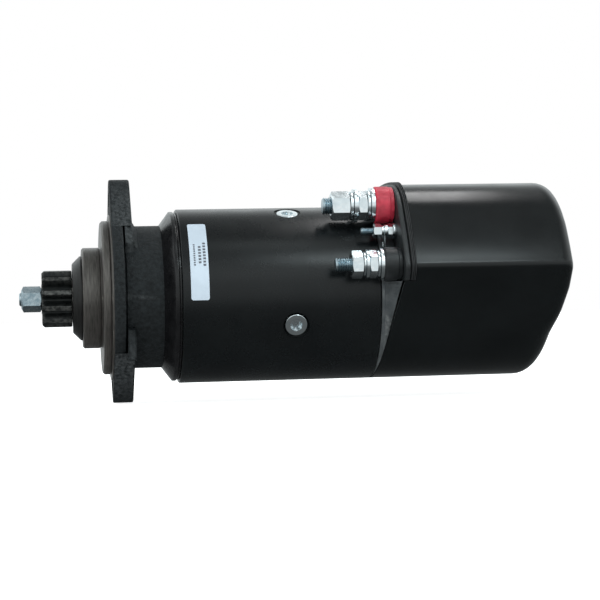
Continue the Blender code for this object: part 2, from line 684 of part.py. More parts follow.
def shield_flare():
    """The casting below the lip, which widens from the yoke's circle to the cap's outline."""
    wide = cap_outline(-GAP)
    start, end = YOKE_X1 + 2.5, BOARD_X1
    bm = bmesh.new()
    circle = [tuple(Vector(point).normalized() * (YOKE_R - GAP)) for point in wide]
    rings = [[bm.verts.new((start * MM, y * MM, z * MM)) for y, z in circle],
             [bm.verts.new((end * MM, y * MM, z * MM)) for y, z in wide]]
    count = len(wide)
    for k in range(count):
        bm.faces.new([rings[0][k], rings[0][(k + 1) % count],
                      rings[1][(k + 1) % count], rings[1][k]])
    bm.faces.new(rings[0])
    bm.faces.new(rings[1])
    bmesh.ops.triangulate(bm, faces=bm.faces[:])
    flare = mesh_from(bm, "flare")
    above = box(150.0, 260.0, -130.0, 130.0, LIP_Z - GAP, 130.0)
    return solid_after("flare", flare, cut=[space_behind_edge(), above, shield_inside(SEG_MID)])


def commutator_end_shield():
    body = turned([(182.2, 51.5), (182.2, SPIGOT_R), (YOKE_X1 + GAP, SPIGOT_R),
                   (YOKE_X1 + GAP, YOKE_R - GAP), (BOARD_X0 - GAP, YOKE_R - GAP),
                   (BOARD_X0 - GAP, BEARING_SEAT_R), (189.5, BEARING_SEAT_R), (189.5, 51.5)],
                  SEG_LARGE)
    trim = solid_after("trim", space_behind_edge(), cut=[shield_inside(SEG_LARGE)])
    mesh = solid_after("commutator_end_shield", body, add=[shield_flare()],
                       cut=[trim] + tie_bolt_holes(180.0, 205.0))
    add_part("commutator_end_shield", mesh, "grey_casting")
    bearing = turned([(190.0, SHAFT_R + 0.5), (190.0, 17.0), (198.5, 17.0),
                      (198.5, SHAFT_R + 0.5)])
    add_part("rear_bearing", bearing, "bronze")
    bolt = turned([(44.5, 0), (44.5, 2.9), (199.0, 2.9), (199.0, 4.8), (202.5, 4.8), (202.5, 0)],
                  SEG_SMALL)
    for number, angle in enumerate(bolt_angles(), start=1):
        part = add_part(f"tie_bolt_{number}", bolt.copy(), "zinc")
        part.matrix_world = about_axis(angle) @ offset(z=TIE_BOLT_R)


def rear_cap_group():
    cap = solid_after("rear_cap", cap_shell(), cut=[front_cutter()])
    add_part("rear_cap", cap, "black_paint")

    below = box(150.0, 260.0, -130.0, 130.0, -130.0, LIP_Z + GAP)
    studs = [placed(rod(190.0, 210.0, spec["stud"] + GAP), offset(y=spec["y"], z=spec["z"]))
             for spec in TERMINALS.values()]
    passage = rod(190.0, 210.0, 56.5, SEG_MID)
    board = solid_after("terminal_board", prism(cap_outline(0.0), BOARD_X0, BOARD_X1),
                        cut=[below, passage] + studs)
    add_part("terminal_board", board, "black_plastic")
    opening = prism(cap_outline(-4.5), 190.0, 220.0)
    gasket = solid_after("cap_gasket", prism(cap_outline(2.0), BOARD_X1 + GAP, GASKET_X1),
                         cut=[opening, below])
    add_part("cap_gasket", gasket, "black_rubber")


def terminal_group():
    for number, spec in TERMINALS.items():
        place = offset(y=spec["y"], z=spec["z"])
        stud_r = spec["stud"]
        stud = turned([(spec["tip"], 0), (spec["tip"], stud_r - 1.0), (spec["tip"] + 1.0, stud_r),
                       (STUD_END_X, stud_r), (STUD_END_X, 0)], SEG_SMALL)
        add_part(f"terminal_{number}_stud", placed(stud, place), "zinc")
        for kind in ("outer", "inner"):
            nut = hexagon(spec["flats"], *spec[kind], stud_r + GAP)
            add_part(f"terminal_{number}_{kind}_nut", placed(nut, place), "zinc")
        if not spec["insulator_r"]:
            continue
        washer = turned([(spec["outer"][1] + GAP, stud_r + GAP),
                         (spec["outer"][1] + GAP, spec["washer_r"]),
                         (spec["inner"][0] - GAP, spec["washer_r"]),
                         (spec["inner"][0] - GAP, stud_r + GAP)])
        add_part(f"terminal_{number}_washer", placed(washer, place), "zinc")
        insulator = turned([(spec["insulator_x"], stud_r + GAP),
                            (spec["insulator_x"], spec["insulator_r"]),
                            (BOARD_X0 - GAP, spec["insulator_r"]),
                            (BOARD_X0 - GAP, stud_r + GAP)])
        colour = "red_plastic" if number == "30" else "black_plastic"
        add_part(f"terminal_{number}_insulator", placed(insulator, place), colour)


# ---------------------------------------------------------------- solenoid and relay

def coil_spring(x0, x1, radius, wire_r, turns):
    """A helix along X with flat-cut ends."""
    per_turn, sides = 14, 6
    count = turns * per_turn
    bm = bmesh.new()
    rings = []
    for step in range(count + 1):
        angle = 2 * math.pi * step / per_turn
        outward = Vector((0.0, math.cos(angle), math.sin(angle)))
        centre = outward * radius
        centre.x = x0 + (x1 - x0) * step / count
        ring = []
        for side in range(sides):
            lean = 2 * math.pi * side / sides
            point = centre + (outward * math.cos(lean) + Vector((1, 0, 0)) * math.sin(lean)) * wire_r
            ring.append(bm.verts.new(point * MM))
        rings.append(ring)
    for first, second in zip(rings, rings[1:]):
        for k in range(sides):
            bm.faces.new([first[k], first[(k + 1) % sides],
                          second[(k + 1) % sides], second[k]])
    bm.faces.new(rings[0])
    bm.faces.new(rings[-1])
    return mesh_from(bm, "coil_spring")


def solenoid_group(axis):
    wall = 3.0
    housing = turned([
        (SOLENOID_X0, 6.0), (SOLENOID_X0, SOLENOID_R), (SOLENOID_X1, SOLENOID_R),
        (SOLENOID_X1, 6.0), (SOLENOID_X1 - wall, 6.0), (SOLENOID_X1 - wall, SOLENOID_R - wall),
        (SOLENOID_X0 + 4, SOLENOID_R - wall), (SOLENOID_X0 + 4, 6.0)], SEG_MID)
    add_part("solenoid_housing", housing, "dark_steel")
    coil = turned([(SOLENOID_X0 + 5, 16.5), (SOLENOID_X0 + 5, SOLENOID_R - 3.5),
                   (SOLENOID_X1 - 4, SOLENOID_R - 3.5), (SOLENOID_X1 - 4, 16.5)], SEG_MID)
    add_part("solenoid_coil", coil, "copper")
    plunger = turned([(PLUNGER_X0, 4.2), (PLUNGER_X0, PLUNGER_R), (PLUNGER_X1, PLUNGER_R),
                      (PLUNGER_X1, 4.2)], SEG_MID)
    add_part("solenoid_plunger", plunger, "machined_steel", axis)
    push_rod = turned([(SPINDLE_END_X + 0.4, 0), (SPINDLE_END_X + 0.4, 3.8),
                       (PLUNGER_X1 + 1, 3.8), (PLUNGER_X1 + 1, 0)], SEG_SMALL)
    add_part("engaging_rod", push_rod, "machined_steel", axis)
    spring = coil_spring(SOLENOID_X0 + 6, PLUNGER_X0 - 1.5, 8.5, 1.0, 5)
    add_part("return_spring", spring, "machined_steel")


def relay_group(axis):
    wall = 2.0
    housing = turned([
        (RELAY_X0, 4.0), (RELAY_X0, RELAY_R), (RELAY_X1, RELAY_R), (RELAY_X1, 4.0),
        (RELAY_X1 - wall, 4.0), (RELAY_X1 - wall, RELAY_R - wall),
        (RELAY_X0 + wall, RELAY_R - wall), (RELAY_X0 + wall, 4.0)], SEG_MID)
    add_part("relay_housing", placed(housing, offset(z=RELAY_Z)), "dark_steel")
    bridge = turned([(RELAY_X0 + 10, 0), (RELAY_X0 + 10, 13.0), (RELAY_X0 + 13, 13.0),
                     (RELAY_X0 + 13, 5.0), (RELAY_X1 - 10, 5.0), (RELAY_X1 - 10, 0)], SEG_SMALL)
    add_part("relay_contact_bridge", bridge, "copper", axis)


def build():
    clear_scene()
    drive_axis = add_axis("drive_axis")
    hub_axis = add_axis("overrunning_axis")
    armature_axis = add_axis("armature_axis")
    solenoid_axis = add_axis("solenoid_axis")
    relay_axis = add_axis("relay_axis", (0.0, 0.0, RELAY_Z))
    drive_end_shield()
    pinion_group(drive_axis)
    clutch_group(armature_axis, hub_axis)
    yoke_group()
    armature_group(armature_axis)
    brush_group()
    commutator_end_shield()
    rear_cap_group()
    terminal_group()
    solenoid_group(solenoid_axis)
    relay_group(relay_axis)


build()
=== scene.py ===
"""Looks of the sliding-gear starter motor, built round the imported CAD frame.

Sizes are in millimetres; MM turns them into Blender's metres. The shaft axis is X, the pinion
points to -X, +Z is up and -Y is the side of the terminals.
"""

import math
from collections import namedtuple

import bmesh
import bpy
from mathutils import Matrix, Vector
from mathutils.geometry import tessellate_polygon

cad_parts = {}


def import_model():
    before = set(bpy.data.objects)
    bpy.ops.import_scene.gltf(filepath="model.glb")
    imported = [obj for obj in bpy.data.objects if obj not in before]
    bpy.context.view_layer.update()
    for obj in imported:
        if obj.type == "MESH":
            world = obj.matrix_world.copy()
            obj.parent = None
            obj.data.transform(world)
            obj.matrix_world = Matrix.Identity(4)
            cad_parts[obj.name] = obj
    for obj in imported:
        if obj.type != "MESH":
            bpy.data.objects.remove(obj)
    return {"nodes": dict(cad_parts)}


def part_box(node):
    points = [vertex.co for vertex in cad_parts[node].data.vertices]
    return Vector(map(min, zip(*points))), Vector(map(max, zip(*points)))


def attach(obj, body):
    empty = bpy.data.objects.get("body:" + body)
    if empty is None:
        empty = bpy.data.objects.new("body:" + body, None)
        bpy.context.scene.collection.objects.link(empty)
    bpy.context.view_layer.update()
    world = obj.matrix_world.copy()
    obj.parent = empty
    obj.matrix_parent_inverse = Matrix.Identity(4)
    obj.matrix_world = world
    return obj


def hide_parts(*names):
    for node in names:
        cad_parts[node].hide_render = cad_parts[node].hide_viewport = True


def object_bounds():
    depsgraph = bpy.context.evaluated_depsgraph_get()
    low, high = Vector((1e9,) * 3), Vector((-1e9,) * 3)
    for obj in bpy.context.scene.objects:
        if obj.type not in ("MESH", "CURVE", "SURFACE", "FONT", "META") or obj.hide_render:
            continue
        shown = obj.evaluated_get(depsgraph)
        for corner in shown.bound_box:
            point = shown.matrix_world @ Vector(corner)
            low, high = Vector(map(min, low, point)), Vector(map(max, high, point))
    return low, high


MM = 0.001
ROUND = 128                     # facets round the large turned pieces
SMALL_ROUND = 48                # and round the studs, nuts and washers

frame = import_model()
cad_low, cad_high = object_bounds()

Box = namedtuple("Box", "x0 y0 z0 x1 y1 z1")


def box_of(node):
    """A CAD node's box in millimetres."""
    low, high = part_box(node)
    return Box(*(value / MM for value in (*low, *high)))


SHIELD, YOKE, CAP = box_of("drive_end_shield"), box_of("yoke"), box_of("rear_cap")
BOARD, GASKET = box_of("terminal_board"), box_of("cap_gasket")
END_SHIELD = box_of("commutator_end_shield")
SEAL, PINION, NUT = box_of("nose_seal_cover"), box_of("pinion"), box_of("pinion_nut")
SPINDLE, LABEL = box_of("drive_spindle"), box_of("rating_label")

# Drive end: steps of the nose, pilot, flange and neck
NOSE_X, NOSE_R, NOSE_BORE_R = SHIELD.x0, 36.0, 20.2
PILOT_X, PILOT_R = -5.9, 55.0
LAND_R = 59.5
FLANGE_R, PLATE_X, PLATE_BACK_X, EAR_BACK_X = 60.0, 1.0, 8.9, 15.5
TOP_EAR_R, LOW_EAR_R = 14.5, 12.5
TOP_EAR_Z, LOW_EAR_Z = SHIELD.z1 - TOP_EAR_R, -SHIELD.z0 - LOW_EAR_R
BOLT_HOLE_R = 5.5
GROOVE_R, NECK_R, NECK_END_X = 49.0, 51.0, 36.3
RING_R, RING_X = 60.9, 43.4

# Yoke and its pole screws
YOKE_R = YOKE.z1
DRUM_R = YOKE_R - 1.2            # the end shield, between the yoke and the board
POLE_TILT, POLE_COUNT = 21.0, 4
POLE_SCREW_X = (box_of("pole_screw_1").x0 + box_of("pole_screw_1").x1) / 2

# Pinion and the thread of its nut
TEETH, TIP_R, ROOT_R, PITCH_R = 11, 20.3, 14.2, 16.5
TOOTH_TURN = math.radians(4.0)
THREAD_R = 5.0

# Rear cap's rounded pentagon
TOP_HALF, CREASE_Z, CREASE_HALF = 55.5, 16.4, 91.7
TOP_CORNER_R, CREASE_R = 45.0, 6.0
LIP_Z = GASKET.z0
CAP_WALL = 2.2
FACET_SWELL = 1.2               # the pressed facets stand a little proud in their middles
REAR_BEND_Z, REAR_SLOPE = 0.0, 0.14
REAR_ROUND, TOP_ROUND, LOW_ROUND = 9.0, 15.0, 16.0
GAP = 0.3                       # between neighbouring pieces
CAP_SKIN_X = 180.0              # where the cap's skin starts before its front is cut to shape
CUT_X0, CUT_X1, CUT_REACH = 150.0, 260.0, 130.0     # cutters that shape the cap's front

# Commutator end shield: bearing seat, and the inner face of its web
BEARING_SEAT_R, WEB_X = 17.4, 189.5

# Camera: a long lens level with the shaft, turned a little towards the pinion
VIEW_YAW, VIEW_ROLL, VIEW_DISTANCE, LENS = 8.2, 1.25, 1350.0, 111.2
AIM = (138.2, 0.0, -4.6)


# ---------------------------------------------------------------- mesh building blocks

def mesh_from(bm, name="shape", sharp=32.0):
    bmesh.ops.recalc_face_normals(bm, faces=bm.faces[:])
    if bm.calc_volume(signed=True) < 0:
        bmesh.ops.reverse_faces(bm, faces=bm.faces[:])
    mesh = bpy.data.meshes.new(name)
    bm.to_mesh(mesh)
    bm.free()
    mesh.shade_smooth()
    mesh.set_sharp_from_angle(angle=math.radians(sharp))
    return mesh


def softened(points, radius, closed, steps=3):
    """A 2-D path with its corners rounded by short curves."""
    count = len(points)
    path = []
    for index, point in enumerate(points):
        here = Vector(point)
        if not closed and index in (0, count - 1):
            path.append(tuple(here))
            continue
        before, after = Vector(points[index - 1]), Vector(points[(index + 1) % count])
        reach = min(radius, (before - here).length * 0.45, (after - here).length * 0.45)
        start = here + (before - here).normalized() * reach
        end = here + (after - here).normalized() * reach
        for step in range(steps + 1):
            t = step / steps
            path.append(tuple(start.lerp(here, t).lerp(here.lerp(end, t), t)))
    return path


def turned(profile, ease=0.4, segments=ROUND):
    """Revolves (x, radius) points about X, with eased corners; radius 0 ends close a solid."""
    closed = profile[0][1] > 0
    path = softened(profile, ease, closed) if ease else profile
    bm = bmesh.new()
    rings = []
    for x, radius in path:
        if radius == 0:
            rings.append([bm.verts.new((x * MM, 0.0, 0.0))])
            continue
        rings.append([bm.verts.new((x * MM, radius * MM * math.cos(2 * math.pi * k / segments),
                                    radius * MM * math.sin(2 * math.pi * k / segments)))
                      for k in range(segments)])
    pairs = list(zip(rings, rings[1:]))
    if closed:
        pairs.append((rings[-1], rings[0]))
    for first, second in pairs:
        for k in range(segments):
            corners = [first[k % len(first)], first[(k + 1) % len(first)],
                       second[(k + 1) % len(second)], second[k % len(second)]]
            bm.faces.new(list(dict.fromkeys(corners)))
    return mesh_from(bm)


def flattened(loop):
    """A loop's outline seen along the axis it spans least."""
    spans = [max(values) - min(values) for values in zip(*loop)]
    kept = [axis for axis in range(3) if axis != spans.index(min(spans))]
    return [Vector((point[kept[0]], point[kept[1]], 0.0)) for point in loop]


def stacked(loops, capped=True, sharp=32.0):
    """Joins loops of (x, y, z) points into a tube, with flat ends if it is capped."""
    bm = bmesh.new()
    rings = [[bm.verts.new(Vector(point) * MM) for point in loop] for loop in loops]
    count = len(rings[0])
    for first, second in zip(rings, rings[1:]):
        for k in range(count):
            bm.faces.new([first[k], first[(k + 1) % count],
                          second[(k + 1) % count], second[k]])
    if capped:
        for ring, loop in ((rings[0], loops[0]), (rings[-1], loops[-1])):
            outline = flattened(loop)
            for triangle in tessellate_polygon([outline]):
                bm.faces.new([ring[k] for k in triangle])
    return mesh_from(bm, sharp=sharp)


def normals_of(outline):
    normals = []
    for index in range(len(outline)):
        before, after = Vector(outline[index - 1]), Vector(outline[(index + 1) % len(outline)])
        along = (after - before).normalized()
        normals.append(Vector((along.y, -along.x)))
    return normals


def grown(outline, distance):
    return [tuple(Vector(point) + normal * distance)
            for point, normal in zip(outline, normals_of(outline))]


def prism(outline, x0, x1, ease=0.5, steps=3):
    """Extrudes an anticlockwise (y, z) outline along X with its end edges rounded over."""
    loops = []
    for x, inward in ((x0, 1), (x1, -1)):
        quarter = []
        for step in range(steps + 1):
            angle = math.pi / 2 * step / steps
            inset = ease * (1 - math.sin(angle))
            depth = ease * (1 - math.cos(angle))
            quarter.append([(x + inward * depth, y, z) for y, z in grown(outline, -inset)])
        loops += quarter if inward > 0 else quarter[::-1]
    return stacked(loops)


def arc(centre, radius, start, end, steps):
    angles = [math.radians(start + (end - start) * k / steps) for k in range(steps + 1)]
    return [(centre[0] + radius * math.cos(a), centre[1] + radius * math.sin(a)) for a in angles]


def rounded(corners):
    """A closed outline through (point, radius, steps) corners, each rounded to its radius."""
    points = []
    for index, (corner, radius, steps) in enumerate(corners):
        here = Vector(corner)
        before = (Vector(corners[index - 1][0]) - here).normalized()
        after = (Vector(corners[(index + 1) % len(corners)][0]) - here).normalized()
        half = before.angle(after) / 2
        centre = here + (before + after).normalized() * (radius / math.sin(half))
        start = here + before * (radius / math.tan(half)) - centre
        end = here + after * (radius / math.tan(half)) - centre
        turn = start.angle_signed(end)
        points += [tuple(centre + Matrix.Rotation(-turn * k / steps, 2) @ start)
                   for k in range(steps + 1)]
    return points


def placed(mesh, matrix):
    copy = mesh.copy()
    copy.transform(matrix)
    return copy


def offset(x=0.0, y=0.0, z=0.0):
    return Matrix.Translation(Vector((x, y, z)) * MM)


def about_axis(degrees):
    """Turns a piece that points up (+Z) towards the terminal side (-Y)."""
    return Matrix.Rotation(math.radians(degrees), 4, "X")


UPRIGHT = Matrix.Rotation(math.radians(-90), 4, "Y")    # from along X to pointing up


def joined(meshes, name="joined"):
    """Several meshes as one."""
    bm = bmesh.new()
    for mesh in meshes:
        bm.from_mesh(mesh)
    result = bpy.data.meshes.new(name)
    bm.to_mesh(result)
    bm.free()
    result.shade_smooth()
    result.set_sharp_from_angle(angle=math.radians(32))
    return result


def cut_from(mesh, tools, operation="DIFFERENCE", ease=0.0):
    """The mesh after a Boolean with each tool, its new edges eased if ease isn't 0."""
    work = bpy.data.objects.new("work", mesh)
    bpy.context.scene.collection.objects.link(work)
    helpers = []
    for tool in tools:
        helper = bpy.data.objects.new("tool", tool)
        bpy.context.scene.collection.objects.link(helper)
        helpers.append(helper)
        modifier = work.modifiers.new("cut", "BOOLEAN")
        modifier.operation = operation
        modifier.solver = "EXACT"
        modifier.object = helper
    if ease:
        bevel = work.modifiers.new("ease", "BEVEL")
        bevel.width = ease * MM
        bevel.segments = 2
        bevel.limit_method = "ANGLE"
        bevel.angle_limit = math.radians(35)
    depsgraph = bpy.context.evaluated_depsgraph_get()
    result = bpy.data.meshes.new_from_object(work.evaluated_get(depsgraph))
    for obj in helpers + [work]:
        bpy.data.objects.remove(obj, do_unlink=True)
    result.shade_smooth()
    result.set_sharp_from_angle(angle=math.radians(32))
    return result


def add_piece(name, mesh, material, body="housing", replaces=()):
    obj = bpy.data.objects.new(name, mesh)
    bpy.context.scene.collection.objects.link(obj)
    obj.data.materials.clear()
    obj.data.materials.append(material)
    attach(obj, body)
    if replaces:
        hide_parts(*replaces)
    return obj


# ---------------------------------------------------------------- materials

class Graph:
    """A material's node tree, with short calls for the nodes used here."""

    def __init__(self, name):
        self.material = bpy.data.materials.new(name)
        self.material.use_nodes = True
        self.tree = self.material.node_tree
        self.shader = self.tree.nodes["Principled BSDF"]
        self.coordinates = self.tree.nodes.new("ShaderNodeTexCoord").outputs["Object"]

    def link(self, source, target):
        self.tree.links.new(source, target)

    def node(self, kind, **settings):
        node = self.tree.nodes.new(kind)
        for key, value in settings.items():
            setattr(node, key, value)
        return node

    def stretched(self, stretch):
        mapping = self.node("ShaderNodeMapping")
        mapping.inputs["Scale"].default_value = stretch
        self.link(self.coordinates, mapping.inputs["Vector"])
        return mapping.outputs["Vector"]

    def noise(self, size, detail=4.0, stretch=(1, 1, 1), roughness=0.55):
        """Noise with features about size millimetres across."""
        texture = self.node("ShaderNodeTexNoise")
        texture.inputs["Scale"].default_value = 1.0 / (size * MM)
        texture.inputs["Detail"].default_value = detail
        texture.inputs["Roughness"].default_value = roughness
        self.link(self.stretched(stretch), texture.inputs["Vector"])
        return texture.outputs["Fac"]

    def spread(self, source, low, high, to_low=0.0, to_high=1.0):
        ramp = self.node("ShaderNodeMapRange")
        for socket, value in zip(("From Min", "From Max", "To Min", "To Max"),
                                 (low, high, to_low, to_high)):
            ramp.inputs[socket].default_value = value
        self.link(source, ramp.inputs["Value"])
        return ramp.outputs["Result"]

    def mix(self, factor, first, second):
        mix = self.node("ShaderNodeMix", data_type="RGBA")
        self.link(factor, mix.inputs["Factor"])
        for socket, value in (("A", first), ("B", second)):
            target = [s for s in mix.inputs if s.name == socket and s.type == "RGBA"][0]
            if isinstance(value, tuple):
                target.default_value = (*value, 1.0)
            else:
                self.link(value, target)
        return [s for s in mix.outputs if s.type == "RGBA"][0]

    def bump(self, layers):
        """Bump from (height, strength, distance in millimetres) layers."""
        normal = None
        for height, strength, distance in layers:
            bump = self.node("ShaderNodeBump")
            bump.inputs["Strength"].default_value = strength
            bump.inputs["Distance"].default_value = distance * MM
            self.link(height, bump.inputs["Height"])
            if normal is not None:
                self.link(normal, bump.inputs["Normal"])
            normal = bump.outputs["Normal"]
        self.link(normal, self.shader.inputs["Normal"])

    def edges(self, low, high):
        """1 on convex edges and 0 elsewhere, broken up by noise; it masks a painted highlight
        along the edges.
        """
        geometry = self.node("ShaderNodeNewGeometry")
        edge = self.spread(geometry.outputs["Pointiness"], low, high)
        product = self.node("ShaderNodeMath", operation="MULTIPLY")
        self.link(edge, product.inputs[0])
        self.link(self.spread(self.noise(2.5), 0.35, 0.7), product.inputs[1])
        return product.outputs["Value"]


def surface(name, dark, light, rough, metallic=0.0, patch=12.0, grain=0.5, relief=0.05,
            stretch=(1, 1, 1), edge_highlight=None, coat=0.0, level=0.5):
    """A finish: colour patches, roughness variation, fine relief and a painted highlight on convex
    edges.
    """
    graph = Graph(name)
    shader = graph.shader
    shader.inputs["Metallic"].default_value = metallic
    shader.inputs["Specular IOR Level"].default_value = level
    shader.inputs["Coat Weight"].default_value = coat
    shader.inputs["Coat Roughness"].default_value = 0.12
    colour = graph.mix(graph.spread(graph.noise(patch, 5.0, stretch), 0.35, 0.65), dark, light)
    speck = graph.spread(graph.noise(grain, 2.0, stretch), 0.3, 0.7)
    # painted highlight: convex edges are mixed towards a lighter edge colour, standing in for
    # light caught along them
    if edge_highlight:
        colour = graph.mix(graph.edges(0.52, 0.60), colour, edge_highlight)
    graph.link(colour, shader.inputs["Base Color"])
    graph.link(graph.spread(graph.noise(patch * 0.4, 4.0, stretch), 0.3, 0.7, *rough),
               shader.inputs["Roughness"])
    graph.bump([(speck, 0.6, relief), (graph.noise(patch, 3.0, stretch), 0.25, relief * 3)])
    return graph.material


ACROSS = (14.0, 1.0, 1.0)       # squeezes noise along X into rings, as turning marks run
ALONG = (0.12, 1.0, 1.0)        # draws it out along X, as scratches on a slid surface run


def make_materials():
    # Each lighter edge colour given below is a painted highlight, laid on the finish's convex
    # edges where light would catch them
    return {
        "paint": surface("black_satin_paint", (0.0024, 0.0031, 0.0035), (0.0036, 0.0046, 0.0050),
                         (0.24, 0.31), patch=40.0, grain=1.2, relief=0.003, level=0.28),
        "cap_paint": surface("rear_cap_paint", (0.0020, 0.0026, 0.0028), (0.0032, 0.0041, 0.0044),
                             (0.20, 0.27), patch=50.0, grain=1.5, relief=0.003, level=0.30),
        "cast": surface("rough_cast_iron", (0.0030, 0.0043, 0.0049), (0.0098, 0.0128, 0.0142),
                        (0.50, 0.72), metallic=0.15, patch=2.6, grain=1.0, relief=0.36,
                        edge_highlight=(0.040, 0.045, 0.047), level=0.25),
        "machined": surface("machined_casting", (0.062, 0.058, 0.054), (0.112, 0.105, 0.097),
                            (0.30, 0.46), metallic=0.75, patch=9.0, grain=0.35, relief=0.02,
                            stretch=ACROSS, edge_highlight=(0.24, 0.22, 0.20)),
        "shield_paint": surface("gloss_black_shield", (0.003, 0.003, 0.0034),
                                (0.006, 0.006, 0.0065), (0.16, 0.28), patch=10.0, grain=1.4,
                                relief=0.02, edge_highlight=(0.02, 0.02, 0.02), level=0.32),
        "seal": surface("dark_seal_steel", (0.006, 0.0062, 0.006), (0.013, 0.013, 0.0125),
                        (0.30, 0.45), metallic=0.5, patch=8.0, grain=0.5, relief=0.02,
                        stretch=ACROSS, edge_highlight=(0.10, 0.09, 0.08)),
        "gear": surface("hardened_gear_steel", (0.006, 0.0075, 0.0075), (0.014, 0.016, 0.016),
                        (0.26, 0.40), metallic=0.6, patch=5.0, grain=0.5, relief=0.012,
                        edge_highlight=(0.10, 0.10, 0.095)),
        "zinc": surface("zinc_plate", (0.70, 0.77, 0.80), (0.84, 0.90, 0.92), (0.14, 0.26),
                        metallic=1.0, patch=9.0, grain=0.8, relief=0.003,
                        edge_highlight=(0.88, 0.90, 0.91)),
        "thread": surface("zinc_thread", (0.26, 0.35, 0.40), (0.42, 0.52, 0.57), (0.24, 0.38),
                          metallic=1.0, patch=5.0, grain=0.6, relief=0.008,
                          edge_highlight=(0.70, 0.76, 0.78)),
        "steel": surface("bright_machined_steel", (0.22, 0.21, 0.20), (0.38, 0.36, 0.34),
                         (0.24, 0.38), metallic=1.0, patch=8.0, grain=0.3, relief=0.01,
                         stretch=ACROSS, edge_highlight=(0.5, 0.5, 0.48)),
        "grey": surface("dark_grey_casting", (0.060, 0.068, 0.072), (0.105, 0.115, 0.120),
                        (0.36, 0.55), metallic=0.6, patch=7.0, grain=0.7, relief=0.08,
                        edge_highlight=(0.20, 0.21, 0.21)),
        "copper": surface("copper_winding", (0.32, 0.12, 0.05), (0.55, 0.25, 0.13),
                          (0.26, 0.45), metallic=1.0, patch=6.0, grain=0.9, relief=0.12,
                          stretch=ALONG, edge_highlight=(0.70, 0.40, 0.25)),
        "bronze": surface("oiled_bronze", (0.30, 0.20, 0.09), (0.48, 0.35, 0.18), (0.30, 0.5),
                          metallic=1.0, patch=5.0, grain=0.3, relief=0.02, stretch=ACROSS),
        "carbon": surface("pressed_carbon", (0.014, 0.014, 0.015), (0.035, 0.034, 0.034),
                          (0.5, 0.8), metallic=0.1, patch=2.5, grain=0.25, relief=0.05),
        "rubber": surface("black_rubber", (0.008, 0.009, 0.010), (0.016, 0.017, 0.018),
                          (0.5, 0.7), patch=8.0, grain=0.4, relief=0.03),
        "plastic": surface("black_moulding", (0.006, 0.0075, 0.008), (0.012, 0.014, 0.015),
                           (0.36, 0.52), patch=10.0, grain=0.5, relief=0.02, level=0.40),
        "red": surface("red_bushing", (0.26, 0.008, 0.022), (0.42, 0.022, 0.045),
                       (0.38, 0.55), patch=6.0, grain=0.5, relief=0.03,
                       edge_highlight=(0.55, 0.09, 0.11)),
        "label": surface("label_film", (0.36, 0.42, 0.48), (0.40, 0.465, 0.53), (0.30, 0.42),
                         patch=14.0, grain=0.6, relief=0.008),
        "ink": surface("label_print", (0.05, 0.055, 0.07), (0.09, 0.095, 0.11), (0.5, 0.65),
                       patch=3.0, grain=0.3, relief=0.01),
        "laminate": surface("core_laminations", (0.035, 0.035, 0.036), (0.085, 0.082, 0.08),
                            (0.35, 0.55), metallic=0.8, patch=3.0, grain=0.35, relief=0.06,
                            stretch=ACROSS),
    }


# ---------------------------------------------------------------- drive end

def tangent_angle(ear_z, ear_r, land_r=FLANGE_R):
    return math.degrees(math.asin((land_r - ear_r) / ear_z))


def flange_outline(inset=0.0):
    top_r, low_r, disc_r = TOP_EAR_R - inset, LOW_EAR_R - inset, FLANGE_R - inset
    top = tangent_angle(TOP_EAR_Z, top_r, disc_r)
    low = tangent_angle(LOW_EAR_Z, low_r, disc_r)
    outline = arc((0, TOP_EAR_Z), top_r, top, 180 - top, 24)
    outline += arc((0, 0), disc_r, 180 - top, 180 + low, 40)
    outline += arc((0, -LOW_EAR_Z), low_r, 180 + low, 360 - low, 24)
    outline += arc((0, 0), disc_r, -low, top, 40)
    return outline


def ear_outline(ear_z, ear_r, root_z):
    tilt = tangent_angle(ear_z, ear_r)
    tip = arc((0, ear_z), ear_r, tilt, 180 - tilt, 24)
    root_half = tip[0][0] + (tip[0][1] - root_z) * math.tan(math.radians(tilt))
    return [(root_half, root_z)] + tip + [(-root_half, root_z)]


